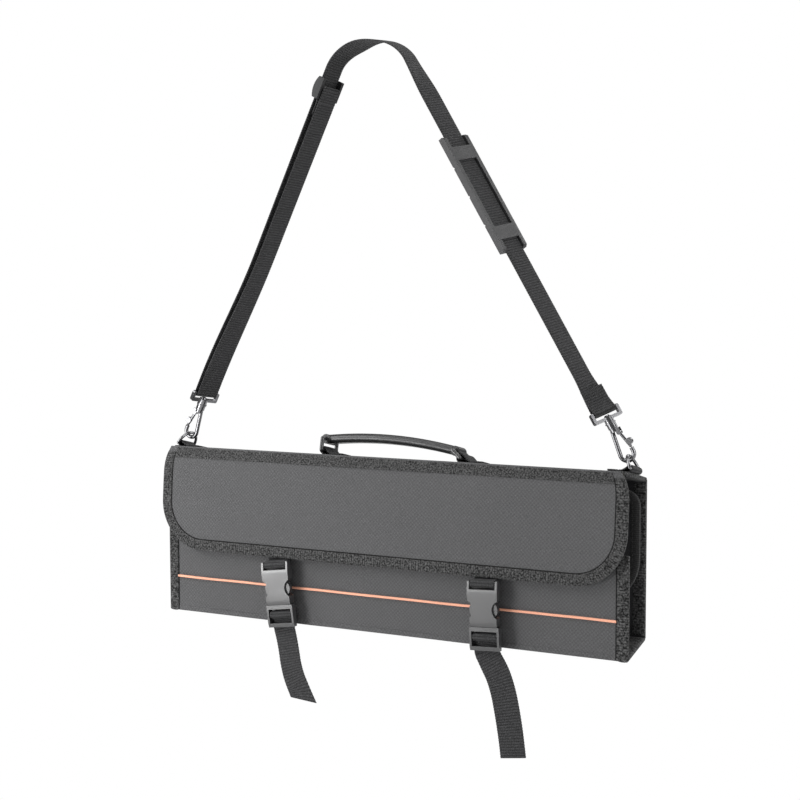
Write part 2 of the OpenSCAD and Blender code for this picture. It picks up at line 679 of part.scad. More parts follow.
band_top = tape_clear;
module lid_binding() {
  color("#3a3b3d") hung() difference() {
    intersection() {
      lid_slab(-tape_t, panel_t + tape_t, 2 * tape_clear + panel_t);
      along_y(4 * lid_lean + 20, -2 * lid_lean - 10) difference() {
        lid_outline(0);
        lid_outline(tape_w);
      }
    }
    intersection() {
      lid_slab(0, panel_t);
      along_y(4 * lid_lean + 20, -2 * lid_lean - 10) lid_outline(tape_t);
    }
  }
}

// Band stitched along the fold, between the bindings
module lid_fold_band() {
  color("#3e3f41") hung() translate([lid_shift, 0, 0])
    along_x(lid_w - 2 * tape_w - 1) polygon(lid_layer(-tape_t, 0, band_top, band_top + band_w));
}

// Buckle frame: origin on the socket's top bar, X across the webbing, Z up
buckle_x = buckle_pitch / 2;
function bar_h(side) = lid_foot[1] - (side > 0 ? right_buckle_drop : left_buckle_drop);
function buckle_lean(side) = side > 0 ? right_buckle_lean : left_buckle_lean;
module at_buckle(side) {
  translate([side * buckle_x, -buckle_stand, bar_h(side)]) rotate([0, -buckle_lean(side), 0]) children();
}

socket_play = 0.3;
bar_wrap_r = buckle_bar_r + web_play + web_t / 2;
rail_in = web_w / 2 + web_play + 0.1;
body_top = -(bar_wrap_r + web_t / 2) - 1;
body_foot_w = buckle_w - 4;
shell_t = 1.8;
cavity_half = 12.2;
cavity_t = buckle_t / 2 - shell_t;
hollow_z = -0.6 * socket_l;

// Webbing from inside the lid, under its edge, round the socket's top bar and back
lid_web_play = 0.4;
module lid_web(side) {
  edge = lid_foot[1] - bar_h(side);
  turn = web_t / 2 + web_w / 2 * sin(buckle_lean(side)) + lid_web_play;
  function web_at(h) = [
    buckle_stand + lid_at(lid_len - h, panel_t)[0] + tape_t + lid_web_play + web_t / 2, edge + h];
  at_buckle(side) along_x(web_w) polygon(band(concat(
    [web_at(14), web_at(7), web_at(-turn)], arc([0, 0], bar_wrap_r, 76, 330, 16)), web_t));
}
module left_lid_web() { color("#333437") hung() lid_web(-1); }
module right_lid_web() { color("#333437") hung() lid_web(1); }

// Socket: rails and a bar for the webbing over a hollow body with a waist
module socket(side) {
  at_buckle(side) {
    difference() {
      intersection() {
        along_y(buckle_t, -buckle_t / 2) difference() {
          polygon([[-buckle_w / 2, 3], [buckle_w / 2, 3], [buckle_w / 2, -socket_l / 4],
            [body_foot_w / 2, -socket_l], [-body_foot_w / 2, -socket_l], [-buckle_w / 2, -socket_l / 4]]);
          for (s = [-1, 1]) translate([s * (waist_w / 2 + hollow_r), hollow_z]) circle(hollow_r);
        }
        along_x(buckle_w) polygon([[-2.6, 3], [2.6, 3], [buckle_t / 2, body_top - 3],
          [buckle_t / 2, -socket_l + 5], [buckle_t / 2 - 0.8, -socket_l], [0.8 - buckle_t / 2, -socket_l],
          [-buckle_t / 2, -socket_l + 5], [-buckle_t / 2, body_top - 3]]);
      }
      along_y(buckle_t + 2, -buckle_t / 2 - 1) translate([-rail_in, body_top]) square([2 * rail_in, 20]);
      along_y(2 * cavity_t, -cavity_t) translate([-cavity_half, -socket_l - 1])
        square([2 * cavity_half, socket_l - 8]);
    }
    along_x(2 * rail_in + 1) circle(buckle_bar_r);
  }
}
module left_socket() { color("#5b5c5e") hung() socket(-1); }
module right_socket() { color("#5b5c5e") hung() socket(1); }

// One of the plug's two spring arms: a round root, a strip, a finger bulge and a catch
arm_root = [6, -socket_l + 2.7];
arm_root_r = 2.5;
module arm(side, hand) {
  at_buckle(side) mirror([hand < 0 ? 1 : 0, 0, 0])
    along_y(2 * (cavity_t - socket_play), -cavity_t + socket_play) {
      translate(arm_root) circle(arm_root_r);
      polygon([arm_root - [arm_root_r, 0], arm_root + [arm_root_r, 0], [10.6, hollow_z - 8],
        [cavity_half - socket_play, hollow_z + 6], [cavity_half - socket_play, hollow_z + 11],
        [9.4, hollow_z + 13.5], [7.8, hollow_z + 12], [8.2, hollow_z]]);
      intersection() {
        translate([6.4, hollow_z]) circle(8);
        translate([8.3, hollow_z - 8]) square([10, 16]);
      }
    }
}
module left_arm_outer() { color("#4c4d4f") hung() arm(-1, -1); }
module left_arm_inner() { color("#4c4d4f") hung() arm(-1, 1); }
module right_arm_inner() { color("#4c4d4f") hung() arm(1, -1); }
module right_arm_outer() { color("#4c4d4f") hung() arm(1, 1); }

// Plug below the socket: a cross plate, a middle bar and a lower bar between two rails
plug_top = -socket_l - 0.2;
plug_foot = plug_top - plug_l;
lock_bar_z = plug_top - 9.6;
plug_half = buckle_w / 2 - 0.5;
module plug(side) {
  low_bar_h = 4;
  at_buckle(side) {
    difference() {
      intersection() {
        along_y(buckle_t - 1, -buckle_t / 2 + 0.5) translate([-plug_half, plug_foot])
          square([2 * plug_half, plug_l]);
        along_x(buckle_w) polygon([[-buckle_t / 2 + 0.8, plug_top], [buckle_t / 2 - 0.8, plug_top],
          [2.8, lock_bar_z], [1.4, plug_foot], [-3, plug_foot], [-3.9, plug_foot + low_bar_h]]);
      }
      along_y(buckle_t + 2, -buckle_t / 2 - 1) translate([-rail_in, plug_foot + low_bar_h])
        square([2 * rail_in, plug_l - low_bar_h - 4]);
    }
    translate([0, 0, lock_bar_z]) along_x(2 * rail_in + 1) circle(buckle_bar_r);
  }
}
module left_plug() { color("#6a6b6d") hung() plug(-1); }
module right_plug() { color("#6a6b6d") hung() plug(1); }

// Loose ends of the front webbing, in the frame of the case with each buckle's bar at tail_bar_h
tail_bar_h = [60, 61];
left_tail = [[-107, -8.3, 4], [-105.5, -8.3, -3], [-102.5, -8.6, -14], [-99.5, -9.5, -26], [-96.5, -11, -38],
  [-92, -12.6, -50], [-86, -14, -61], [-79.5, -15.2, -71]];
left_tail_turn = [0, 4, 14, 22, 26, 26, 20, 12];
right_tail = [[114, -8.3, 4], [115, -8.3, -3], [120.5, -9, -12], [128, -10.6, -24], [133.6, -12, -38],
  [137.6, -13.2, -53], [141, -14.2, -69], [143.6, -15, -84], [145, -15.4, -95]];
right_tail_turn = [0, 0, 2, 6, 10, 12, 14, 15, 15];
tail_steps = 3;

// A smooth curve through the points p: steps stops between each two of them
function smooth_at(p, i, t) =
  let (n = len(p), a = p[max(i - 1, 0)], b = p[i], c = p[min(i + 1, n - 1)], d = p[min(i + 2, n - 1)])
  0.5 * (2 * b + (c - a) * t + (2 * a - 5 * b + 4 * c - d) * t * t + (3 * b - a - 3 * c + d) * t * t * t);
function smooth(p, steps) = concat(
  [for (i = [0 : len(p) - 2], k = [0 : steps - 1]) smooth_at(p, i, k / steps)], [p[len(p) - 1]]);

module tail(side, p, turns) {
  w = [for (a = smooth(turns, tail_steps)) [cos(a), -sin(a), 0]];
  translate([side * (buckle_pitch - 226) / 2, 0, bar_h(side) - tail_bar_h[side > 0 ? 1 : 0]])
    ribbon(smooth(p, tail_steps), w, web_w, web_t);
}

// Webbing sewn to the front panel, threaded over the plug's middle bar and down behind it
sewn_l = 9;
sewn_foot = lock_bar_z - 6.2;
module front_web(side) {
  panel_y = buckle_stand - web_t / 2;
  tail_y = buckle_stand - 8.3;
  lock = [0, lock_bar_z];
  at_buckle(side) along_x(web_w) polygon(band(concat(
    [[panel_y, sewn_foot], [panel_y, sewn_foot + sewn_l]], arc(lock, bar_wrap_r, 60, 290, 14),
    [[tail_y, lock_bar_z - 5.5], [tail_y, plug_foot + 1]]), web_t));
}
module left_front_web() {
  color("#333437") hung() {
    front_web(-1);
    tail(-1, left_tail, left_tail_turn);
  }
}
module right_front_web() {
  color("#333437") hung() {
    front_web(1);
    tail(1, right_tail, right_tail_turn);
  }
}

// Back panel
module back_layer(d0, d1) {
  hung() along_x(2 * core_half) polygon(layer(back_foot, back_top, -base_back, -top_back, d0, d1));
}
module back_cover() { color("#4f4f51") back_layer(0, skin_t); }
module back_board() { color("#77736c") back_layer(board_in, lining_in); }
module back_lining() { color("#3f4042") back_layer(lining_in, panel_t); }
module back_binding() { color("#3a3b3d") hung() end_tape(back_foot, back_top, -base_back, -top_back); }

// A row of channels sewn to a panel: one fabric sheet that dips to the panel at each seam.
// Drawn in [x, depth] from the panel's face and extruded upwards.
channel_span = case_w - 2 * tape_w - 8;
module channels(count, height) {
  pitch = channel_span / count;
  lip = channel_gap + skin_t;
  linear_extrude(height) difference() {
    translate([-channel_span / 2, 0]) square([channel_span, lip]);
    for (i = [0 : count - 1]) translate([-channel_span / 2 + seam_w / 2 + i * pitch, 0])
      polygon([[0, -1], [0, channel_gap - 1.2], [1.2, channel_gap], [pitch - seam_w - 1.2, channel_gap],
        [pitch - seam_w, channel_gap - 1.2], [pitch - seam_w, -1]]);
    for (i = [1 : count - 1]) translate([-channel_span / 2 + i * pitch, lip])
      polygon([[-0.9, 0.1], [0.9, 0.1], [0.9, -channel_gap], [-0.9, -channel_gap]]);
  }
  linear_extrude(seam_w) translate([-channel_span / 2, 0]) square([channel_span, lip]);
}

sleeve_foot = base_rise + panel_t + tape_t + 2;
module knife_sleeves() {
  color("#484a4c") hung() translate([0, case_d - panel_t, sleeve_foot]) mirror([0, 1, 0])
    channels(sleeve_count, sleeve_h);
}

// Ledge of fabric that carries the flap, and the flap with its tape
flap_back_y = case_d - flap_inset;
flap_top_z = back_top_h - 9.3;
flap_w = case_w - 2;
module flap_header() {
  ledge_t = 1.2;
  header_w = flap_w - 2 * flap_top_r - 10;
  color("#424345") hung() along_x(header_w) polygon([
    [case_d - panel_t, flap_top_z - 6], [case_d - panel_t, flap_top_z + 1],
    [flap_back_y + 0.3, flap_top_z - 1], [flap_back_y + 0.3, flap_top_z - 1 - ledge_t],
    [case_d - panel_t - ledge_t, flap_top_z - 1], [case_d - panel_t - ledge_t, flap_top_z - 6]]);
}

module flap_outline(edge) {
  w = flap_w - 2 * edge;
  h = flap_h - 2 * edge;
  low_r = flap_corner_r - edge;
  top_r = flap_top_r - edge;
  translate([0, flap_top_z - flap_h + edge]) {
    translate([-w / 2, low_r]) square([w, h - low_r - top_r]);
    translate([-w / 2 + low_r, 0]) square([w - 2 * low_r, h / 2]);
    translate([-w / 2 + top_r, h / 2]) square([w - 2 * top_r, h / 2]);
    for (s = [-1, 1]) {
      translate([s * (w / 2 - low_r), low_r]) circle(low_r, $fn = 96);
      translate([s * (w / 2 - top_r), h - top_r]) circle(top_r);
    }
  }
}

module inner_flap() {
  color("#464749") hung() along_y(flap_t, flap_back_y - tape_t - flap_t) flap_outline(tape_t);
}

module flap_binding() {
  color("#3a3b3d") hung() difference() {
    along_y(flap_t + 2 * tape_t, flap_back_y - flap_t - 2 * tape_t) difference() {
      flap_outline(0);
      flap_outline(tape_w * 0.7);
    }
    along_y(flap_t, flap_back_y - tape_t - flap_t) flap_outline(tape_t);
  }
}

// Base panel
module base_layer(d0, d1) {
  hung() along_x(2 * core_half) polygon(layer(front_foot, back_foot, up, up, d0, d1));
}
module base_cover() { color("#464648") base_layer(0, skin_t); }
module base_board() { color("#77736c") base_layer(board_in, lining_in); }
module base_lining() { color("#3f4042") base_layer(lining_in, panel_t); }
module base_binding() { color("#3a3b3d") hung() end_tape(front_foot, back_foot, up, up); }

// Front panel, in two pieces of fabric with the piping between them
core_top = front_h - tape_t;
function front_sheet(z0, z1, d0, d1) = [[d0, z0], [d0, z1], [d1, z1], [d1, z0]];
function front_start(d) = inside(front_foot, up, base_back, d)[1];
function front_layer(d0, d1) =
  [[d0, front_start(d0)], [d0, core_top], [d1, core_top], [d1, front_start(d1)]];
module front_cover() {
  color("#525254") hung() along_x(2 * core_half) polygon(front_sheet(piping_h, core_top, 0, skin_t));
}
module front_skirt() {
  color("#4e4e50") hung() along_x(2 * core_half) polygon(
    [[0, front_start(0)], [0, piping_h], [skin_t, piping_h], [skin_t, front_start(skin_t)]]);
}
module front_piping() {
  color("#f09673") hung() intersection() {
    translate([0, 0, piping_h]) along_x(case_w - 2 * tape_w) circle(d = piping_d);
    translate([-half_w, -piping_d, piping_h - piping_d]) cube([case_w, piping_d, 2 * piping_d]);
  }
}
module front_board() {
  color("#77736c") hung() along_x(2 * core_half) polygon(front_layer(board_in, lining_in));
}
module front_lining() {
  color("#3f4042") hung() along_x(2 * core_half) polygon(front_layer(lining_in, panel_t));
}
module front_binding() {
  color("#3a3b3d") hung() difference() {
    along_x(case_w) polygon([inside(front_foot, up, base_back, -tape_t, tape_clear), [-tape_t, front_h],
      [panel_t + tape_t, front_h], inside(front_foot, up, base_back, panel_t + tape_t, tape_clear)]);
    along_x(case_w - 2 * tape_w) polygon(front_sheet(0, front_h - tape_w, -tape_t - 1, panel_t + tape_t + 1));
    along_x(2 * core_half) polygon(front_sheet(-1, core_top, 0, panel_t));
  }
}
module tool_pocket() {
  color("#484a4c") hung() translate([0, panel_t, panel_t + tape_t + 8])
    channels(pocket_count, pocket_h);
}

shoulder_strap();
strap_return();
left_swivel();
right_swivel();
strap_slider();
shoulder_pad();
left_hook();
right_hook();
left_gate();
right_gate();
top_cover();
top_board();
top_lining();
top_binding();
left_ring_tab();
right_ring_tab();
handle_tabs();
left_d_ring();
right_d_ring();
left_handle_loop();
right_handle_loop();
handle_grip();
lid_cover();
lid_board();
lid_lining();
lid_binding();
lid_fold_band();
left_lid_web();
right_lid_web();
left_socket();
right_socket();
left_arm_outer();
left_arm_inner();
right_arm_inner();
right_arm_outer();
back_cover();
back_board();
back_lining();
back_binding();
knife_sleeves();
flap_header();
inner_flap();
flap_binding();
base_cover();
base_board();
base_lining();
base_binding();
front_cover();
front_skirt();
front_piping();
front_board();
front_lining();
front_binding();
tool_pocket();
left_plug();
right_plug();
left_front_web();
right_front_web();
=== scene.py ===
"""Looks of a hard knife case: fabric panels, taped edges, webbing, buckles, hooks and handle.

Every piece is drawn in millimetres in the case's own frame, whose origin is the middle of the
front panel's lower edge: X runs along the case, Y to its back and Z up. Workshop.place then
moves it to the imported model's frame, in metres.
"""

from __future__ import annotations

import json
import logging
import math
from collections.abc import Iterable, Sequence
from dataclasses import dataclass, field
from enum import Enum

import bmesh
import bpy
from mathutils import Matrix, Vector, noise
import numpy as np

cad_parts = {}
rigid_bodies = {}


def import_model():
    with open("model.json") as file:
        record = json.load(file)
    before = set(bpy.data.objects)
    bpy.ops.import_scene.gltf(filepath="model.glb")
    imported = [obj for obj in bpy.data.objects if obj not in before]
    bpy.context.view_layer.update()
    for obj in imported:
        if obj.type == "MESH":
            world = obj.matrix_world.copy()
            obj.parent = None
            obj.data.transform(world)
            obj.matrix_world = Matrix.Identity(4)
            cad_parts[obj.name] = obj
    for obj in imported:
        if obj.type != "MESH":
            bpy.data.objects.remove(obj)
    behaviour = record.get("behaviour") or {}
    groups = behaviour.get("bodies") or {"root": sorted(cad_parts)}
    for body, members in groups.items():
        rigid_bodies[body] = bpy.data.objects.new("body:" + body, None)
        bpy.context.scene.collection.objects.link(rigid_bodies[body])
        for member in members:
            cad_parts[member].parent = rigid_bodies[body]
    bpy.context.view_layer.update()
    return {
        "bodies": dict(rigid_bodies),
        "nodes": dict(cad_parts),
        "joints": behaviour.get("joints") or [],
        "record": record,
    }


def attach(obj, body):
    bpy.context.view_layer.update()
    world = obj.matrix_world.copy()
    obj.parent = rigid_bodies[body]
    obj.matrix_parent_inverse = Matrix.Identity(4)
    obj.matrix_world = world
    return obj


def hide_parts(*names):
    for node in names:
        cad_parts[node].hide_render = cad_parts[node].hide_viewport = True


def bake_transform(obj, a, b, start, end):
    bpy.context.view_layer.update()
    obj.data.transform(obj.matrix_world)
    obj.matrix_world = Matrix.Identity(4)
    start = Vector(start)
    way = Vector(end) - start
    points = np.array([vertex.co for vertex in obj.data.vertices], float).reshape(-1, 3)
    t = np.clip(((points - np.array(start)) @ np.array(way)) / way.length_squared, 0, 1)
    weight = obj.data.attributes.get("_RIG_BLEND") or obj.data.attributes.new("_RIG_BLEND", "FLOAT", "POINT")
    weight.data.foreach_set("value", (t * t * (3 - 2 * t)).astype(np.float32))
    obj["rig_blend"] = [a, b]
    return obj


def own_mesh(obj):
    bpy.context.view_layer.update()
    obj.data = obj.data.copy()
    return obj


LOG = logging.getLogger("knife_case")
MM = 0.001
CLOTH_UV = "cloth"
MERGE_DIST = 0.002
RING_MERGE_DIST = 0.001
CUT_DIST = 1e-5
FLAT_ANGLE = 0.1
Colour = tuple[float, float, float, float]
X_AXIS = Vector((1, 0, 0))
FORWARD = Vector((0, -1, 0))
UP = Vector((0, 0, 1))
DOWN = Vector((0, 0, -1))


class Side(Enum):
    """Left or right half of the case, as a sign along X."""

    LEFT = -1
    RIGHT = 1

    @property
    def word(self) -> str:
        """Name of this side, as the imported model's nodes spell it."""
        return self.name.lower()


class Stuff(Enum):
    """The finishes of the case."""

    FABRIC = "case_fabric"
    BOARD = "board"
    LINING = "lining"
    BINDING = "binding"
    FLAT_TAPE = "flat_tape"
    BAND = "band"
    PIPING = "piping"
    WEBBING = "webbing"
    GRIP = "grip"
    PAD = "pad"
    PLASTIC = "plastic"
    METAL = "metal"
    THREAD = "thread"
    SLIDER = "slider"

    @property
    def slot(self) -> str:
        """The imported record's slot that this finish belongs to.

        Returns:
            The slot's name.
        """
        others = {
            Stuff.FLAT_TAPE: Stuff.BINDING,
            Stuff.BAND: Stuff.BINDING,
            Stuff.THREAD: Stuff.WEBBING,
            Stuff.SLIDER: Stuff.PLASTIC,
        }
        return others.get(self, self).value


def srgb(red: float, green: float, blue: float) -> Colour:
    """Turns a colour as seen on screen, from 0 to 255, into the shader's linear colour.

    Args:
        red: red part.
        green: green part.
        blue: blue part.

    Returns:
        The linear colour with an alpha of 1.
    """

    def linear(part: float) -> float:
        """Linear value of one part."""
        share = part / 255
        return share / 12.92 if share <= 0.04045 else ((share + 0.055) / 1.055) ** 2.4

    return linear(red), linear(green), linear(blue), 1.0


# Shader node groups


class NodeGroup:
    """A shader node group with named inputs and outputs, built once."""

    def __init__(self, name: str, inputs: dict[str, float | None], outputs: Sequence[str]) -> None:
        """Makes the empty group.

        Args:
            name: name of the group.
            inputs: default of each value input, or None where the input is a vector.
            outputs: names of the value outputs.
        """
        self.tree = bpy.data.node_groups.new(name, "ShaderNodeTree")
        for label, default in inputs.items():
            kind = "NodeSocketVector" if default is None else "NodeSocketFloat"
            socket = self.tree.interface.new_socket(label, in_out="INPUT", socket_type=kind)
            if default is not None:
                socket.default_value = default
        for label in outputs:
            self.tree.interface.new_socket(label, in_out="OUTPUT", socket_type="NodeSocketFloat")
        self.inputs = self.tree.nodes.new("NodeGroupInput").outputs
        self.outputs = self.tree.nodes.new("NodeGroupOutput").inputs

    def feed(self, value: bpy.types.NodeSocket | float, socket: bpy.types.NodeSocket) -> None:
        """Links a socket, or sets a number.

        Args:
            value: the socket or the number.
            socket: the input that takes it.
        """
        if isinstance(value, bpy.types.NodeSocket):
            self.tree.links.new(value, socket)
        else:
            socket.default_value = value

    def math(self, operation: str, *values: bpy.types.NodeSocket | float) -> bpy.types.NodeSocket:
        """Adds a Math node.

        Args:
            operation: its operation.
            values: sockets or numbers for its inputs.

        Returns:
            Its result.
        """
        node = self.tree.nodes.new("ShaderNodeMath")
        node.operation = operation
        for socket, value in zip(node.inputs, values):
            self.feed(value, socket)
        return node.outputs[0]

    def noise(self, vector: bpy.types.NodeSocket, scale: bpy.types.NodeSocket | float,
              detail: float = 2.0) -> bpy.types.NodeSocket:
        """Adds a Noise Texture and returns its value.

        Args:
            vector: where the noise is read.
            scale: its scale.
            detail: its levels of detail.

        Returns:
            Its value.
        """
        node = self.tree.nodes.new("ShaderNodeTexNoise")
        self.feed(vector, node.inputs["Vector"])
        self.feed(scale, node.inputs["Scale"])
        node.inputs["Detail"].default_value = detail
        return node.outputs["Fac"]

    def across_along(self) -> tuple[bpy.types.NodeSocket, bpy.types.NodeSocket]:
        """Splits the cloth map into its two directions.

        Returns:
            The map's value across the cloth and the one along it.
        """
        node = self.tree.nodes.new("ShaderNodeSeparateXYZ")
        self.feed(self.inputs["Cloth"], node.inputs[0])
        return node.outputs[0], node.outputs[1]


def weave_group() -> bpy.types.NodeTree:
    """Plain weave: threads that pass over and under each other, in the cloth's own millimetres.

    Returns:
        The group's nodes.
    """
    thread_share, fuzz_scale, fuzz_detail = 0.35, 1.7, 3
    group = NodeGroup("Plain weave", {"Cloth": None, "Pitch": 0.9}, ["Height"])
    across, along = group.across_along()
    turn = group.math("DIVIDE", math.pi, group.inputs["Pitch"])
    warp = group.math("SINE", group.math("MULTIPLY", across, turn))
    weft = group.math("SINE", group.math("MULTIPLY", along, turn))
    crossing = group.math("MULTIPLY", warp, weft)
    fuzz = group.noise(group.inputs["Cloth"], fuzz_scale, fuzz_detail)
    group.feed(group.math("MULTIPLY_ADD", crossing, thread_share, fuzz), group.outputs["Height"])
    return group.tree


def rib_group() -> bpy.types.NodeTree:
    """Ribbed tape: rounded ribs across the tape, with fine threads along it; the Rib output also tints the
    tape, as painted shade in the grooves and painted light on the ribs.

    Returns:
        The group's nodes.
    """
    wobble_scale, wobble_reach, rib_power, threads_per_rib = 0.35, 0.9, 0.6, 3.0
    group = NodeGroup("Ribbed tape", {"Cloth": None, "Pitch": 1.6, "Thread": 0.25}, ["Height", "Rib"])
    across, along = group.across_along()
    turn = group.math("DIVIDE", math.pi, group.inputs["Pitch"])
    wobble = group.math("MULTIPLY", group.noise(group.inputs["Cloth"], wobble_scale, 1), wobble_reach)
    wave = group.math("SINE", group.math("MULTIPLY", group.math("ADD", along, wobble), turn))
    rib = group.math("POWER", group.math("ABSOLUTE", wave), rib_power)
    thread = group.math("SINE", group.math("MULTIPLY", across, group.math("MULTIPLY", turn, threads_per_rib)))
    group.feed(group.math("MULTIPLY_ADD", thread, group.inputs["Thread"], rib), group.outputs["Height"])
    group.feed(rib, group.outputs["Rib"])
    return group.tree


def edge_group() -> bpy.types.NodeTree:
    """Painted shade: darkens the tape's colour in a narrow band along the step where a folded tape's edge
    meets the cloth, in place of the shadow in that step.

    Returns:
        The group's nodes.
    """
    group = NodeGroup("Tape edge", {"Cloth": None, "Width": 0.9, "Shade": 0.12}, ["Tone"])
    across, _ = group.across_along()
    inside = group.math("LESS_THAN", across, group.inputs["Width"])
    drop = group.math("SUBTRACT", group.inputs["Shade"], 1.0)
    group.feed(group.math("MULTIPLY_ADD", inside, drop, 1.0), group.outputs["Tone"])
    return group.tree


def tone_group() -> bpy.types.NodeTree:
    """Uneven tone: a factor round 1 that drifts slowly and speckles finely over the surface.

    Returns:
        The group's nodes.
    """
    inputs = {"Place": None, "Drift": 9.0, "Speckle": 900.0, "Drift amount": 0.12, "Speckle amount": 0.12}
    group = NodeGroup("Uneven tone", inputs, ["Tone"])
    drift = group.math("SUBTRACT", group.noise(group.inputs["Place"], group.inputs["Drift"]), 0.5)
    speckle = group.math("SUBTRACT", group.noise(group.inputs["Place"], group.inputs["Speckle"], 1), 0.5)
    tone = group.math("MULTIPLY_ADD", drift, group.inputs["Drift amount"], 1.0)
    tone = group.math("MULTIPLY_ADD", speckle, group.inputs["Speckle amount"], tone)
    group.feed(tone, group.outputs["Tone"])
    return group.tree


def handling_group() -> bpy.types.NodeTree:
    """Handling marks: soft patches of more and less gloss, and a fine grain.

    Returns:
        The group's nodes.
    """
    patch_scale, patch_detail = 60.0, 4
    inputs = {"Place": None, "Gloss": 0.4, "Amount": 0.15, "Grain": 1500.0}
    group = NodeGroup("Handling marks", inputs, ["Roughness", "Height"])
    patch = group.math("SUBTRACT", group.noise(group.inputs["Place"], patch_scale, patch_detail), 0.5)
    rough = group.math("MULTIPLY_ADD", patch, group.inputs["Amount"], group.inputs["Gloss"])
    group.feed(rough, group.outputs["Roughness"])
    group.feed(group.noise(group.inputs["Place"], group.inputs["Grain"], 1), group.outputs["Height"])
    return group.tree


@dataclass(frozen=True)
class Groups:
    """The node groups that the finishes share."""

    weave: bpy.types.NodeTree
    ribs: bpy.types.NodeTree
    # edge: the painted shade along a folded tape's step
    edge: bpy.types.NodeTree
    tone: bpy.types.NodeTree
    handling: bpy.types.NodeTree


class Shader:
    """Wires the nodes of one material."""

    def __init__(self, name: str) -> None:
        """Makes the material with its Principled shader.

        Args:
            name: name of the material.
        """
        self.material = bpy.data.materials.new(name)
        self.material.use_nodes = True
        self.nodes = self.material.node_tree.nodes
        self.links = self.material.node_tree.links
        self.surface = self.nodes["Principled BSDF"]

    def place(self) -> bpy.types.NodeSocket:
        """Adds the object's own coordinates, in metres."""
        return self.nodes.new("ShaderNodeTexCoord").outputs["Object"]

    def cloth(self) -> bpy.types.NodeSocket:
        """Adds the cloth map, in millimetres.

        Returns:
            The map's socket.
        """
        node = self.nodes.new("ShaderNodeUVMap")
        node.uv_map = CLOTH_UV
        return node.outputs[0]

    def group(self, tree: bpy.types.NodeTree, vector: bpy.types.NodeSocket,
              **values: float) -> bpy.types.Node:
        """Places a node group with its own values.

        Args:
            tree: the group.
            vector: what feeds its first input.
            values: its other inputs, with underscores for spaces.

        Returns:
            The group node.
        """
        node = self.nodes.new("ShaderNodeGroup")
        node.node_tree = tree
        self.links.new(vector, node.inputs[0])
        for label, value in values.items():
            node.inputs[label.replace("_", " ")].default_value = value
        return node

    def tint(self, colour: Colour, tone: bpy.types.NodeSocket) -> None:
        """Feeds Base Color with a colour times a tone.

        Args:
            colour: the colour.
            tone: the factor that scales it.
        """
        scaled = self.nodes.new("ShaderNodeVectorMath")
        scaled.operation = "SCALE"
        scaled.inputs[0].default_value = colour[:3]
        self.links.new(tone, scaled.inputs["Scale"])
        self.links.new(scaled.outputs[0], self.surface.inputs["Base Color"])

    def bump(self, height: bpy.types.NodeSocket, depth_mm: float) -> None:
        """Feeds Normal from a height.

        Args:
            height: the height.
            depth_mm: what a height of 1 stands for, in millimetres.
        """
        node = self.nodes.new("ShaderNodeBump")
        node.inputs["Distance"].default_value = depth_mm * MM
        self.links.new(height, node.inputs["Height"])
        self.links.new(node.outputs[0], self.surface.inputs["Normal"])

    def set(self, **values: float) -> None:
        """Sets plain numbers on the Principled shader, with underscores for spaces."""
        for label, value in values.items():
            self.surface.inputs[label.replace("_", " ")].default_value = value

    def product(self, first: bpy.types.NodeSocket, second: bpy.types.NodeSocket) -> bpy.types.NodeSocket:
        """Multiplies two values.

        Args:
            first: one value.
            second: the other value.

        Returns:
            Their product.
        """
        node = self.nodes.new("ShaderNodeMath")
        node.operation = "MULTIPLY"
        self.links.new(first, node.inputs[0])
        self.links.new(second, node.inputs[1])
        return node.outputs[0]

    def lifted(self, value: bpy.types.NodeSocket, low: float, high: float) -> bpy.types.NodeSocket:
        """Maps 0 to 1 onto low to high.

        Args:
            value: the value, which is cut off below 0 and above 1.
            low: what 0 becomes.
            high: what 1 becomes.

        Returns:
            The mapped value.
        """
        node = self.nodes.new("ShaderNodeMapRange")
        self.links.new(value, node.inputs["Value"])
        node.inputs["To Min"].default_value = low
        node.inputs["To Max"].default_value = high
        return node.outputs[0]


@dataclass(frozen=True)
class WovenFabric:
    """Coated plain weave of the panels and linings, tinted by the weave's height as painted shade in its
    hollows and painted light on its crossings.

    pitch and depth are the weave's, in millimetres. fleck is the strength of the fine speckle and grain
    about how many flecks there are to a metre.
    """

    name: str
    colour: Colour
    pitch: float = 1.9
    depth: float = 0.16
    roughness: float = 0.75
    sheen: float = 0.06
    fleck: float = 1.3
    grain: float = 1400.0

    def build(self, groups: Groups) -> bpy.types.Material:
        """Makes the material.

        Args:
            groups: the node groups that the finishes share.

        Returns:
            The material.
        """
        shader = Shader(self.name)
        weave = shader.group(groups.weave, shader.cloth(), Pitch=self.pitch).outputs[0]
        tone = shader.group(groups.tone, shader.place(), Drift=7.0, Speckle=self.grain,
                            Drift_amount=0.2, Speckle_amount=self.fleck).outputs[0]
        # Painted light and shade: the colour follows the weave's height, darker (0.7) in the hollows between
        # threads and lighter (1.3) on their crossings.
        shader.tint(self.colour, shader.product(tone, shader.lifted(weave, low=0.7, high=1.3)))
        shader.set(Roughness=self.roughness, Sheen_Weight=self.sheen, Sheen_Roughness=0.4,
                   Specular_IOR_Level=0.35)
        shader.bump(weave, self.depth)
        return shader.material


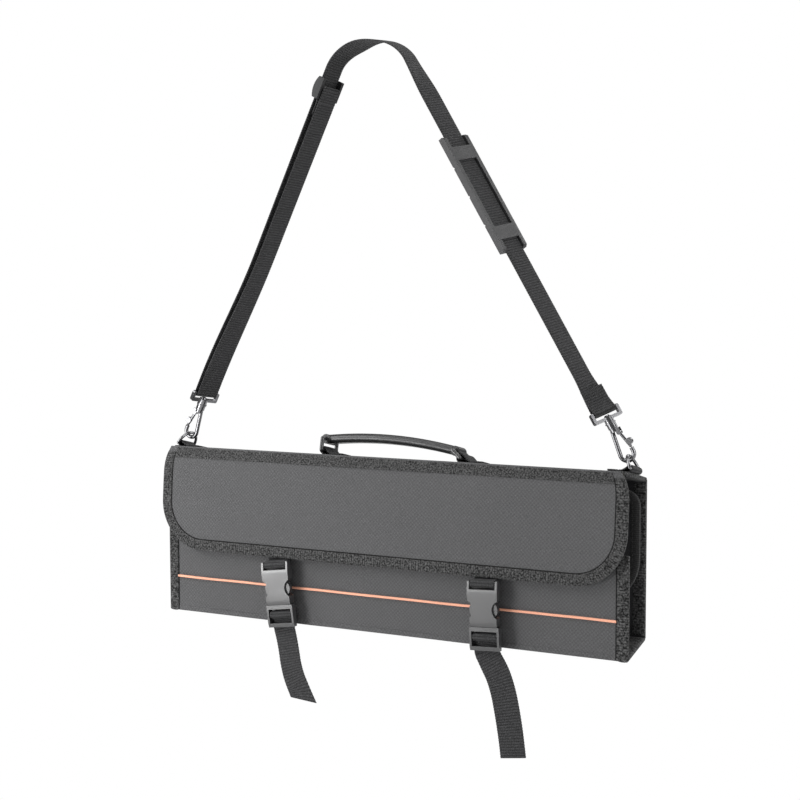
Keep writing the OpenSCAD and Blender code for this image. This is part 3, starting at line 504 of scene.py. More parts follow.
@dataclass(frozen=True)
class RibbedTape:
    """Ribbed tape or webbing.

    low is the tone between two ribs, which paints shade in the grooves, and edge the width of the painted
    shade along the step at a folded tape's edge.
    The other sizes are as in WovenFabric.
    """

    name: str
    colour: Colour
    pitch: float
    depth: float
    fleck: float
    roughness: float = 0.85
    low: float = 0.45
    edge: float = 0.0
    grain: float = 850.0

    def build(self, groups: Groups) -> bpy.types.Material:
        """Makes the material.

        Args:
            groups: the node groups that the finishes share.

        Returns:
            The material.
        """
        shader = Shader(self.name)
        ribs = shader.group(groups.ribs, shader.cloth(), Pitch=self.pitch, Thread=0.3)
        tone = shader.group(groups.tone, shader.place(), Drift=12.0, Speckle=self.grain,
                            Drift_amount=0.15, Speckle_amount=self.fleck).outputs[0]
        # Painted light and shade: the tone follows the ribs' height, darkest (low) in the grooves between
        # ribs and lighter (1.25) on their tops.
        tone = shader.product(tone, shader.lifted(ribs.outputs["Rib"], low=self.low, high=1.25))
        # Painted shade: a darker band along the tape's folded edge, in place of the shadow in the step where
        # it meets the cloth.
        if self.edge:
            step = shader.group(groups.edge, shader.cloth(), Width=self.edge).outputs[0]
            tone = shader.product(tone, step)
        shader.tint(self.colour, tone)
        shader.set(Roughness=self.roughness, Sheen_Weight=0.05, Sheen_Roughness=0.5, Specular_IOR_Level=0.25)
        shader.bump(ribs.outputs["Height"], self.depth)
        return shader.material


@dataclass(frozen=True)
class Moulded:
    """Moulded plastic, rubber, board or plated metal."""

    name: str
    colour: Colour
    roughness: float
    grain: float = 1500.0
    depth: float = 0.02
    shine: float = 0.5
    metallic: float = 0.0

    def build(self, groups: Groups) -> bpy.types.Material:
        """Makes the material.

        Args:
            groups: the node groups that the finishes share.

        Returns:
            The material.
        """
        shader = Shader(self.name)
        place = shader.place()
        tone = shader.group(groups.tone, place, Drift=40.0, Speckle=500.0,
                            Drift_amount=0.1, Speckle_amount=0.05).outputs[0]
        marks = shader.group(groups.handling, place, Gloss=self.roughness, Amount=0.16, Grain=self.grain)
        shader.tint(self.colour, tone)
        shader.links.new(marks.outputs["Roughness"], shader.surface.inputs["Roughness"])
        shader.set(Metallic=self.metallic, Specular_IOR_Level=self.shine)
        shader.bump(marks.outputs["Height"], self.depth)
        return shader.material


FINISHES: dict[Stuff, WovenFabric | RibbedTape | Moulded] = {
    Stuff.FABRIC: WovenFabric("Coated case fabric", srgb(76, 76, 77)),
    Stuff.LINING: WovenFabric("Lining", srgb(50, 50, 52), pitch=1.3, depth=0.06, roughness=0.8, fleck=0.5),
    Stuff.BOARD: Moulded("Stiffening board", srgb(62, 61, 58), 0.85, grain=800.0, depth=0.05),
    # The binding's edge sets the width of its painted shade along the step at its inner edge.
    Stuff.BINDING: RibbedTape("Binding tape", srgb(58, 58, 58), pitch=2.4, depth=0.25, fleck=5.5,
                              low=0.4, edge=1.5, grain=560.0),
    Stuff.FLAT_TAPE: RibbedTape("Flap tape", srgb(52, 52, 52), pitch=1.9, depth=0.2, fleck=1.6),
    Stuff.BAND: WovenFabric("Fold band cloth", srgb(53, 53, 53), roughness=0.8, fleck=6.0, grain=700.0),
    Stuff.PIPING: WovenFabric("Piping", srgb(238, 170, 142), pitch=0.8, depth=0.04, roughness=0.6, fleck=0.5),
    # Webbing: low paints deep shade in the grooves between its ribs.
    Stuff.WEBBING: RibbedTape("Webbing", srgb(50, 50, 51), pitch=2.6, depth=0.35, fleck=1.8, low=0.2),
    Stuff.GRIP: Moulded("Grip rubber", srgb(40, 40, 41), 0.34, depth=0.03),
    Stuff.PAD: Moulded("Pad rubber", srgb(56, 56, 57), 0.6, grain=700.0, depth=0.06),
    Stuff.PLASTIC: Moulded("Buckle plastic", srgb(46, 46, 47), 0.32, depth=0.012, shine=1.0),
    Stuff.SLIDER: Moulded("Slider plastic", srgb(42, 42, 43), 0.55, depth=0.02, shine=0.25),
    Stuff.METAL: Moulded("Satin nickel plate", srgb(128, 128, 130), 0.24, grain=500.0, depth=0.006,
                         metallic=1.0),
    Stuff.THREAD: RibbedTape("Sewing thread", srgb(74, 74, 74), pitch=0.6, depth=0.03, fleck=0.1),
}


# Places and sizes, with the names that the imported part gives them


@dataclass(frozen=True)
class Layers:
    """Thicknesses of a panel and its tape."""

    skin: float = 0.8
    board: float = 1.6
    tape: float = 0.6
    tape_w: float = 12.0
    tape_clear: float = 1.5

    @property
    def panel(self) -> float:
        """Thickness of a whole panel."""
        return 2 * self.skin + self.board


@dataclass(frozen=True)
class Webbing:
    """Cross section of the webbing."""

    width: float = 25.0
    thick: float = 1.6
    play: float = 0.3

    def round_bar(self, bar_r: float) -> float:
        """Radius of the webbing's middle round a bar of a given radius."""
        return bar_r + self.play + self.thick / 2


LAYERS = Layers()
WEB = Webbing()


@dataclass(frozen=True)
class CaseFrame:
    """Places of the closed case, in millimetres in its own frame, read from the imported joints."""

    corner: Vector
    fold: Vector
    back_top: Vector
    back_foot: Vector
    half_w: float = 250.0
    front_h: float = 96.0

    def nip(self, bm: bmesh.types.BMesh, most: float = 8.0, length: float = 30.0, reach: float = 26.0,
            fade: float = 2.5) -> None:
        """Draws in a piece's ends towards the lid's fold, as the two ends of the fold are rounded.

        Args:
            bm: the piece.
            most: how far the ends are drawn in at the fold.
            length: how far from the fold this begins.
            reach: length of the piece's end that is pushed together.
            fade: how fast it fades away from the fold, as a power.
        """
        for vert in bm.verts:
            away = math.hypot(vert.co.y - self.fold.y, vert.co.z - self.fold.z)
            share = 1 - (self.half_w - abs(vert.co.x)) / reach
            if away < length and share > 0:
                vert.co.x -= math.copysign(most * (1 - away / length) ** fade * min(1.0, share), vert.co.x)

    @classmethod
    def read(cls, joints: Sequence[dict]) -> CaseFrame:
        """Reads the case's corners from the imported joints.

        Args:
            joints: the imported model's joints.

        Returns:
            The case's places.
        """
        places = {joint["name"]: Vector(joint["pos_m"]) for joint in joints if "pos_m" in joint}
        corner = places["front_hinge"]

        def profile(name: str) -> Vector:
            """A hinge's place in the case's end profile."""
            place = (places[name] - corner) / MM
            return Vector((0, place.y, place.z))

        return cls(corner, profile("lid_hinge"), profile("back_hinge"), profile("bottom_hinge"))

    @property
    def top_slope(self) -> float:
        """Slope of the top panel, in radians."""
        return math.atan2(self.fold.z - self.back_top.z, self.back_top.y)

    @property
    def top_len(self) -> float:
        """Length of the top panel down its slope."""
        return (self.back_top - self.fold).length

    @property
    def on_top(self) -> Matrix:
        """Frame on the sloping top: X along the case, Y down the slope, Z out of the fabric."""
        return Matrix.Translation(self.fold) @ Matrix.Rotation(-self.top_slope, 4, "X")


# Curves and stations


def arc(centre: Sequence[float], radius: float, start: float, stop: float, count: int) -> list[Vector]:
    """Points of an arc in two dimensions, with its angles in degrees."""
    angles = (math.radians(start + (stop - start) * i / count) for i in range(count + 1))
    return [Vector(centre) + radius * Vector((math.cos(a), math.sin(a))) for a in angles]


def smooth_path(points: Sequence[Vector], steps: int) -> list[Vector]:
    """A smooth curve through points of any number of parts.

    Args:
        points: the points.
        steps: stops between each two of them.

    Returns:
        The curve's points.
    """
    last = len(points) - 1
    out = []
    for i in range(last):
        a, b = points[max(i - 1, 0)], points[i]
        c, d = points[i + 1], points[min(i + 2, last)]
        for k in range(steps):
            t = k / steps
            out.append(0.5 * (2 * b + (c - a) * t + (2 * a - 5 * b + 4 * c - d) * t * t
                              + (3 * b - a - 3 * c + d) * t ** 3))
    out.append(points[last].copy())
    return out


def eased(stops: Sequence[tuple[float, float]], at: float) -> float:
    """Value at a place between stops of place and value, easing out of one stop and into the next.

    Args:
        stops: pairs of a place and the value there, in order.
        at: the place.

    Returns:
        The value at that place.
    """
    for (low, first), (high, last) in zip(stops, stops[1:]):
        if at < high:
            share = max(0.0, at - low) / (high - low)
            return first + (last - first) * share * share * (3 - 2 * share)
    return stops[-1][1]


def divided(a: Vector, b: Vector, pitch: float) -> list[Vector]:
    """Points from a to b at about an even pitch, with both ends."""
    count = max(1, round((b - a).length / pitch))
    return [a.lerp(b, i / count) for i in range(count + 1)]


def frame_of(place: Vector, x: Vector, y: Vector, z: Vector) -> Matrix:
    """Matrix with the given columns, which needn't be square to each other."""
    return Matrix.Translation(place) @ Matrix((x, y, z)).transposed().to_4x4()


def station(place: Vector, across: Vector, along: Vector) -> Matrix:
    """Frame of a sweep's station: X across the piece, Y out of its face and Z along the sweep.

    Args:
        place: where it stands.
        across: direction across the piece, made square to the sweep.
        along: direction of the sweep.

    Returns:
        The station.
    """
    z = along.normalized()
    x = (across - z * across.dot(z)).normalized()
    return frame_of(place, x, z.cross(x), z)


def stations(points: Sequence[Vector], across: Sequence[Vector] | Vector) -> list[Matrix]:
    """Stations along a line, with one direction across it or one for each point.

    Args:
        points: the line.
        across: one direction across it, or one for each point.

    Returns:
        One station for each point.
    """
    last = len(points) - 1
    return [
        station(p, across if isinstance(across, Vector) else across[i],
                points[min(i + 1, last)] - points[max(i - 1, 0)])
        for i, p in enumerate(points)
    ]


def mirrored(half: list[tuple[Vector, Vector]]) -> list[tuple[Vector, Vector]]:
    """Completes half an outline, given as points and their ways in, that ends in the middle."""
    return half + [(Vector((-p.x, p.y)), Vector((-n.x, n.y))) for p, n in reversed(half[:-1])]


def webbing_section(width: float = WEB.width, thick: float = WEB.thick, crown: float = 0.12) -> list[Vector]:
    """Section of webbing: two rounded edges, and faces that stand slightly proud in the middle.

    Args:
        width: width of the webbing.
        thick: its thickness at the edges.
        crown: how far the middle of a face stands proud.

    Returns:
        The section's points.
    """
    half, r = width / 2 - thick / 2, thick / 2
    edge = [Vector((half, 0)) + p for p in arc((0, 0), r, -90, 90, 4)]
    rise = [Vector((half * u, r + crown * (1 - u * u))) for u in (0.7, 0.3, -0.3, -0.7)]
    face = edge + rise
    return face + [-p for p in face]


def webbing(line: Sequence[tuple[Vector, Vector]], slant: float = 0.0, pitch: float = 1.3,
            scallop: float = 0.3, slant_reach: float = 18.0) -> bmesh.types.BMesh:
    """Webbing whose ribs show as a fine scallop along both edges.

    Args:
        line: places along its middle, each with the direction across it.
        slant: how far the last cut runs on, for each millimetre across.
        pitch: half the distance from rib to rib.
        scallop: how far an edge swings out and in.
        slant_reach: length of the end that the slanted cut draws with it.

    Returns:
        The webbing.
    """
    places, acrosses = [line[0][0]], [line[0][1]]
    for (a, u), (b, v) in zip(line, line[1:]):
        count = max(1, round((b - a).length / pitch))
        for i in range(1, count + 1):
            places.append(a.lerp(b, i / count))
            acrosses.append(u.lerp(v, i / count))
    swing = scallop / WEB.width
    frames = stations(places, acrosses)
    for i, frame in enumerate(frames):
        shape = Matrix.Diagonal((1 + (swing if i % 2 else -swing), 1, 1, 1))
        shape[2][0] = slant * max(0.0, 1 - (len(frames) - 1 - i) * pitch / slant_reach)
        frames[i] = frame @ shape
    return sweep(webbing_section(), frames)


# Mesh tools


def write_cloth_map(bm: bmesh.types.BMesh, around: float) -> None:
    """Writes the cloth map of a swept piece from its vertex layers, in millimetres.

    Args:
        bm: the swept piece.
        around: length of its section's outline.
    """
    across = bm.verts.layers.float["across"]
    along = bm.verts.layers.float["along"]
    uv = bm.loops.layers.uv.new(CLOTH_UV)
    for face in bm.faces:
        values = [loop.vert[across] for loop in face.loops]
        wraps = max(values) - min(values) > around / 2
        for loop, value in zip(face.loops, values):
            loop[uv].uv = (value + around if wraps and value < around / 2 else value, loop.vert[along])


def sweep(outline: Sequence[Vector], frames: Sequence[Matrix], ring: bool = False) -> bmesh.types.BMesh:
    """Extrudes a closed outline from each station to the next.

    Args:
        outline: the section's points, in the stations' X and Y.
        frames: the stations.
        ring: whether the last station is the first one again.

    Returns:
        The swept mesh, with its cloth map.
    """
    bm = bmesh.new()
    across = bm.verts.layers.float.new("across")
    along = bm.verts.layers.float.new("along")
    reach, first = 0.0, []
    for i, point in enumerate(outline):
        vert = bm.verts.new(frames[0] @ Vector((point.x, point.y, 0)))
        reach += (point - outline[i - 1]).length if i else 0.0
        vert[across] = reach
        first.append(vert)
    edges = [bm.edges.new((first[i - 1], first[i])) for i in range(len(first))]
    caps, travelled = list(edges), 0.0
    for before, after in zip(frames, frames[1:]):
        grown = bmesh.ops.extrude_edge_only(bm, edges=edges)["geom"]
        verts = [part for part in grown if isinstance(part, bmesh.types.BMVert)]
        edges = [part for part in grown if isinstance(part, bmesh.types.BMEdge)]
        travelled += (after.translation - before.translation).length
        for vert in verts:
            vert[along] = travelled
        bmesh.ops.transform(bm, matrix=after @ before.inverted(), verts=verts)
    if not ring:
        bmesh.ops.holes_fill(bm, edges=caps + edges, sides=0)
    write_cloth_map(bm, reach + (outline[0] - outline[-1]).length)
    if ring:
        bmesh.ops.remove_doubles(bm, verts=bm.verts, dist=RING_MERGE_DIST)
    bmesh.ops.recalc_face_normals(bm, faces=bm.faces)
    return bm


def merged(parts: Iterable[bmesh.types.BMesh]) -> bmesh.types.BMesh:
    """Joins several meshes into one and frees them.

    Args:
        parts: the meshes.

    Returns:
        The joined mesh.
    """
    out = bmesh.new()
    for part in parts:
        mesh = bpy.data.meshes.new("part")
        part.to_mesh(mesh)
        part.free()
        out.from_mesh(mesh)
        bpy.data.meshes.remove(mesh)
    return out


def flat_cloth_map(bm: bmesh.types.BMesh, along: Vector) -> None:
    """Gives a cut or moulded piece a flat cloth map, with its second value along a direction.

    Args:
        bm: the piece.
        along: direction of the map's second value.
    """
    axes = (X_AXIS, along.normalized(), X_AXIS.cross(along).normalized())
    pairs = ((2, 1), (0, 2), (0, 1))
    uv = bm.loops.layers.uv.new(CLOTH_UV)
    for face in bm.faces:
        u, v = pairs[max(range(3), key=lambda i: abs(face.normal.dot(axes[i])))]
        for loop in face.loops:
            loop[uv].uv = (loop.vert.co.dot(axes[u]), loop.vert.co.dot(axes[v]))


def shade_by_area(mesh: bpy.types.Mesh, sharp: float) -> None:
    """Shades a mesh smoothly so that large faces stay flat and only the small ones beside them turn.

    Args:
        mesh: the mesh.
        sharp: edges sharper than this many degrees stay sharp.
    """
    mesh.shade_smooth()
    near = math.cos(math.radians(sharp))
    faces = [(face.normal.copy(), face.area) for face in mesh.polygons]
    round_vert: list[list[int]] = [[] for _ in mesh.vertices]
    for face in mesh.polygons:
        for vert in face.vertices:
            round_vert[vert].append(face.index)
    normals = []
    for face in mesh.polygons:
        own = faces[face.index][0]
        for vert in face.vertices:
            total = Vector()
            for other, area in (faces[i] for i in round_vert[vert]):
                if other.dot(own) > near:
                    total += other * area
            normals.append(total.normalized() if total.length > 0 else own)
    mesh.normals_split_custom_set(normals)


def slice_up(bm: bmesh.types.BMesh, direction: Vector, pitch: float) -> None:
    """Cuts a mesh across a direction at an even pitch, so that it can bend.

    Args:
        bm: the mesh.
        direction: direction across the cuts.
        pitch: about the distance from cut to cut.
    """
    reach = [v.co.dot(direction) for v in bm.verts]
    low, high = min(reach), max(reach)
    count = max(1, round((high - low) / pitch))
    for i in range(1, count):
        place = direction * (low + (high - low) * i / count)
        bmesh.ops.bisect_plane(bm, geom=bm.verts[:] + bm.edges[:] + bm.faces[:], dist=CUT_DIST,
                               plane_co=place, plane_no=direction)


def round_edges(bm: bmesh.types.BMesh, radius: float, segments: int = 2, angle: float = 35.0) -> None:
    """Rounds the sharp edges of a mesh.

    Args:
        bm: the mesh.
        radius: radius of a rounded edge.
        segments: faces across it.
        angle: edges sharper than this many degrees are rounded.
    """
    sharp = [e for e in bm.edges if len(e.link_faces) == 2 and e.calc_face_angle(0) > math.radians(angle)]
    bmesh.ops.bevel(bm, geom=sharp, offset=radius, offset_type="OFFSET", segments=segments, profile=0.5,
                    affect="EDGES", clamp_overlap=True, material=-1)


def ripple(bm: bmesh.types.BMesh, out: Vector, height: float, wave: float, seed: float) -> None:
    """Moves a piece of cloth gently in and out along a direction.

    Args:
        bm: the cloth.
        out: direction that it moves in.
        height: about the furthest that it moves.
        wave: size of a wave.
        seed: place in the noise.
    """
    for vert in bm.verts:
        place = (vert.co - out * vert.co.dot(out)) / wave
        vert.co += out * (height * noise.noise(place + X_AXIS * seed))


def stitches(points: Sequence[Vector], out: Vector, length: float = 2.6, pitch: float = 4.0,
             thick: float = 0.5) -> bmesh.types.BMesh:
    """A row of stitches along a line.

    Args:
        points: the line.
        out: direction out of the cloth.
        length: length of a stitch.
        pitch: distance from stitch to stitch.
        thick: thickness of the thread.

    Returns:
        The stitches.
    """
    bm = bmesh.new()
    shape = Matrix.Diagonal((thick * 0.4, thick * 0.6, length / 2, 1))
    ahead = pitch / 2
    for a, b in zip(points, points[1:]):
        span = (b - a).length
        while ahead < span:
            matrix = station(a.lerp(b, ahead / span), out, b - a) @ shape
            bmesh.ops.create_icosphere(bm, subdivisions=1, radius=1.0, matrix=matrix)
            ahead += pitch
        ahead -= span
    flat_cloth_map(bm, UP)
    return bm


# The workshop: where pieces are placed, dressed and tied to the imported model


@dataclass(frozen=True)
class Drape:
    """How a sheet is cut up so that it can bend, and how it then ripples.

    cut_x and cut_down are the pitches of the cuts along the case and down the sheet. A cut_down of 0
    makes no cuts down it.
    height and wave are the ripple's, and seed picks its place in the noise.
    """

    cut_x: float
    cut_down: float
    height: float
    wave: float
    seed: float


@dataclass
class Workshop:
    """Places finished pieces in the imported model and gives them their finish."""

    places: CaseFrame
    nodes: dict[str, bpy.types.Object]
    materials: dict[Stuff, bpy.types.Material]
    made: list[str] = field(default_factory=list)

    @property
    def to_row(self) -> Matrix:
        """From the case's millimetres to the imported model's metres."""
        return Matrix.Translation(self.places.corner) @ Matrix.Scale(MM, 4)

    def copy_of(self, node: str) -> bmesh.types.BMesh:
        """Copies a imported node, in the case's millimetres, with its flat faces merged.

        Args:
            node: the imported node.

        Returns:
            The copy.
        """
        bm = bmesh.new()
        bm.from_mesh(self.nodes[node].data)
        for layer in list(bm.loops.layers.uv):
            bm.loops.layers.uv.remove(layer)
        bmesh.ops.transform(bm, matrix=self.to_row.inverted(), verts=bm.verts)
        bmesh.ops.remove_doubles(bm, verts=bm.verts, dist=MERGE_DIST)
        bmesh.ops.dissolve_limit(bm, angle_limit=math.radians(FLAT_ANGLE), verts=bm.verts, edges=bm.edges)
        return bm

    def place(self, name: str, bm: bmesh.types.BMesh, stuff: Stuff, body: str | None,
              instead_of: Sequence[str] = (), sharp: float = 40.0) -> bpy.types.Object:
        """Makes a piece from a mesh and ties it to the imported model.

        Args:
            name: name of the piece.
            bm: its mesh, in the case's millimetres, which is freed.
            stuff: its finish.
            body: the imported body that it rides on, or None where it bends between two.
            instead_of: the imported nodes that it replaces.
            sharp: edges sharper than this many degrees stay sharp.

        Returns:
            The piece.
        """
        if body in ("lid", "top", None):
            self.places.nip(bm)
        bmesh.ops.transform(bm, matrix=self.to_row, verts=bm.verts)
        mesh = bpy.data.meshes.new(name)
        bm.to_mesh(mesh)
        bm.free()
        shade_by_area(mesh, sharp)
        mesh.materials.append(self.materials[stuff])
        piece = bpy.data.objects.new(name, mesh)
        bpy.context.scene.collection.objects.link(piece)
        if body:
            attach(piece, body)
        if instead_of:
            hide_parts(*instead_of)
        self.made.append(name)
        LOG.info("made %s: %d faces", name, len(mesh.polygons))
        return piece

    def thread(self, name: str, rows: Sequence[bmesh.types.BMesh], body: str) -> None:
        """Makes one piece of several rows of stitches."""
        self.place(name, merged(rows), Stuff.THREAD, body, sharp=80)

    def refine(self, node: str, stuff: Stuff, body: str, radius: float) -> None:
        """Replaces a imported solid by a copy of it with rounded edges.

        Args:
            node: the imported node.
            stuff: its finish.
            body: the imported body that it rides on.
            radius: radius of the rounded edges.
        """
        bm = self.copy_of(node)
        round_edges(bm, radius)
        self.place(f"{node}_finished", bm, stuff, body, [node], sharp=50)

    def sheet(self, node: str, suffix: str, stuff: Stuff, body: str, drape: Drape,
              out: Vector = FORWARD, down: Vector = UP, along: Vector = UP) -> None:
        """Replaces a packed sheet by a copy that ripples.

        Args:
            node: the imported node.
            suffix: what the piece's name adds to the node's.
            stuff: its finish.
            body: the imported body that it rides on.
            drape: its cuts and its ripple.
            out: direction that it ripples in.
            down: direction down the sheet, for the cuts.
            along: direction of the cloth map's second value.
        """
        bm = self.copy_of(node)
        slice_up(bm, X_AXIS, drape.cut_x)
        if drape.cut_down:
            slice_up(bm, down, drape.cut_down)
        ripple(bm, out, drape.height, drape.wave, drape.seed)
        flat_cloth_map(bm, along)
        self.place(f"{node}_{suffix}", bm, stuff, body, [node], sharp=30)

    def keep(self, node: str, stuff: Stuff) -> None:
        """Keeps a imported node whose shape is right, and gives it its finish.

        Args:
            node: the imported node.
            stuff: its finish.
        """
        piece = self.nodes[node]
        piece.material_slots[0].link = "OBJECT"
        piece.material_slots[0].material = self.materials[stuff]
        LOG.info("kept %s", node)

    def row(self, place: Vector) -> Vector:
        """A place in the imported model's frame."""
        return self.to_row @ place


# Tape folded round an edge


@dataclass(frozen=True)
class FoldedTape:
    """Tape folded round a panel's edge and sewn through, with its section drawn inwards from the edge."""

    depth: float = LAYERS.panel
    width: float = LAYERS.tape_w
    puff: float = 0.25
    seam_in: float = 1.9
    corner_r: float = 1.7

    @property
    def face(self) -> float:
        """Height of the tape's face over the panel's middle."""
        return self.depth / 2 + LAYERS.tape

    def section(self) -> list[Vector]:
        """The tape's closed section: X runs in from the edge and Y out of the panel.

        Returns:
            The section's points.
        """
        w, face, core = self.width, self.face, self.depth / 2
        seam = w - self.seam_in
        top = [
            Vector((w, core)), Vector((w, core + 0.3)), Vector((w - 0.4, core + 0.5)),
            Vector((seam, core + 0.36)), Vector((seam - 1.6, face + self.puff * 0.5)),
            Vector((w * 0.5, face + self.puff)), Vector((w * 0.3, face + self.puff * 0.8)),
        ]
        r = self.corner_r
        half = top + arc((r, face - r), r, 90, 180, 4)
        inner = Vector((LAYERS.tape, core))
        return half + [Vector((p.x, -p.y)) for p in reversed(half)] + [Vector((inner.x, -inner.y)), inner]

    def seams(self, frames: Sequence[Matrix], out: Vector) -> list[bmesh.types.BMesh]:
        """A row of stitches on each side of the tape.

        Args:
            frames: the tape's stations.
            out: direction out of the cloth.

        Returns:
            The two rows.
        """
        inset = self.width - self.seam_in
        return [
            stitches([f @ Vector((inset, s * (self.depth / 2 + 0.4), 0)) for f in frames], out)
            for s in (-1, 1)
        ]


TAPE = FoldedTape()


@dataclass(frozen=True)
class Mitre:
    """The corner between two panels: own runs along the panel that is drawn, other along its neighbour."""

    point: Vector
    own: Vector
    other: Vector

    @property
    def inside(self) -> Vector:
        """Way into the corner for each millimetre of depth."""
        return (self.own + self.other) / self.own.cross(self.other).length

    def station(self, inward: Vector, along: Vector) -> Matrix:
        """Station whose Y runs along the mitre, at the middle of the panel's thickness."""
        place = self.point + self.inside * (LAYERS.panel / 2) + self.own * LAYERS.tape_clear
        return frame_of(place, inward, -self.inside, along)


# Flat panels


@dataclass(frozen=True)
class FlatPanel:
    """A stiff fabric panel between two folds: fabric and lining over a board, with tape on its ends."""

    name: str
    first: Mitre
    last: Mitre
    seed: float
    ripple_height: float = 0.35
    tape_pitch: float = 6.0

    @property
    def out(self) -> Vector:
        """Direction out of the panel's fabric."""
        own = self.first.own
        return (own * own.dot(self.first.other) - self.first.other).normalized()

    def build(self, shop: Workshop) -> None:
        """Makes the panel's cloth and its tapes.

        Args:
            shop: the workshop that places the pieces.
        """
        own = self.first.own
        for part, stuff, swell in (("cover", Stuff.FABRIC, self.ripple_height),
                                   ("lining", Stuff.LINING, self.ripple_height), ("board", Stuff.BOARD, 0.0)):
            drape = Drape(cut_x=12.0, cut_down=10.0, height=swell, wave=55.0, seed=self.seed)
            shop.sheet(f"{self.name}_{part}", "sheet", stuff, self.name, drape, self.out, own, own)
        tapes, rows = [], []
        for side in Side:
            frames = self.end_stations(side, shop.places.half_w)
            tapes.append(sweep(TAPE.section(), frames))
            rows += TAPE.seams(frames, self.out)
        shop.place(f"{self.name}_tape", merged(tapes), Stuff.BINDING, self.name, [f"{self.name}_binding"])
        shop.thread(f"{self.name}_tape_stitches", rows, self.name)

    def end_stations(self, side: Side, half_w: float) -> list[Matrix]:
        """Stations of the tape on one end.

        Args:
            side: which end.
            half_w: half the case's length.

        Returns:
            The stations.
        """
        inward = -X_AXIS * side.value
        a = self.first.station(inward, self.first.own)
        b = self.last.station(inward, self.first.own)
        inner = divided(a.translation, b.translation, self.tape_pitch)[1:-1]
        middle = [frame_of(p, inward, self.out, self.first.own) for p in inner]
        return [Matrix.Translation(-inward * half_w) @ frame for frame in (a, *middle, b)]


@dataclass(frozen=True)
class FrontPanel:
    """The front: fabric above and below the orange piping, and tape on its ends and upper edge.

    The piping's bead lies bead_out in front of the fabric's face and wanders up and down by bead_sway.
    bead_rows holds the height of each row of stitches over the bead and the length of its stitches.
    """

    foot: Mitre
    piping_h: float = 36.0
    piping_d: float = 2.4
    bead_out: float = 0.25
    bead_sway: float = 0.35
    bead_wave: float = 45.0
    bead_seed: float = 3.1
    bead_pitch: float = 5.0
    bead_rows: tuple[tuple[float, float], ...] = ((-3.2, 2.6), (3.0, 2.0))
    end_pitch: float = 6.0
    edge_pitch: float = 8.0
    drape: Drape = Drape(cut_x=12.0, cut_down=9.0, height=0.4, wave=50.0, seed=40.0)

    def build(self, shop: Workshop) -> None:
        """Makes the front's cloth, tape, piping and stitches.

        Args:
            shop: the workshop that places the pieces.
        """
        for node, stuff in (("front_cover", Stuff.FABRIC), ("front_skirt", Stuff.FABRIC),
                            ("front_lining", Stuff.LINING)):
            shop.sheet(node, "cloth", stuff, "front", self.drape)
        shop.keep("front_board", Stuff.BOARD)
        frames = self.edge_stations(shop.places)
        shop.place("front_tape", sweep(TAPE.section(), frames), Stuff.BINDING, "front", ["front_binding"])
        shop.thread("front_tape_stitches", TAPE.seams(frames, FORWARD), "front")
        self.piping(shop)

    def edge_stations(self, places: CaseFrame) -> list[Matrix]:
        """Stations up the left end, along the upper edge and down the right end.

        Args:
            places: the case's places.

        Returns:
            The stations.
        """
        w = places.half_w
        start = self.foot.station(X_AXIS, UP)
        start.translation -= X_AXIS * w
        corner = Vector((-w, LAYERS.panel / 2, places.front_h))
        inner = divided(start.translation, corner, self.end_pitch)[1:-1]
        rise = [start] + [frame_of(p, X_AXIS, FORWARD, UP) for p in inner]
        rise.append(frame_of(corner, X_AXIS + DOWN, FORWARD, (UP + X_AXIS).normalized()))
        inner = divided(corner, Vector((w, corner.y, corner.z)), self.edge_pitch)[1:-1]
        across = [frame_of(p, DOWN, FORWARD, X_AXIS) for p in inner]
        mirror, back = Matrix.Diagonal((-1, 1, 1, 1)), Matrix.Diagonal((1, 1, -1, 1))
        return rise + across + [mirror @ frame @ back for frame in reversed(rise)]

    def piping(self, shop: Workshop) -> None:
        """Makes the piping's bead and the stitches beside it.

        Args:
            shop: the workshop that places the pieces.
        """
        reach = shop.places.half_w - LAYERS.tape_w + 0.6
        line = []
        for v in divided(-X_AXIS * reach, X_AXIS * reach, self.bead_pitch):
            sway = self.bead_sway * noise.noise(Vector((v.x / self.bead_wave, self.bead_seed, 0)))
            line.append(Vector((v.x, -self.bead_out, self.piping_h + sway)))
        bead = sweep(arc((0, 0), self.piping_d / 2, 0, 345, 23), stations(line, UP))
        shop.place("front_piping_bead", bead, Stuff.PIPING, "front", ["front_piping"])
        rows = [
            stitches([p + UP * rise + FORWARD * 0.05 for p in line], FORWARD, length)
            for rise, length in self.bead_rows
        ]
        shop.thread("front_piping_stitches", rows, "front")


# Lid


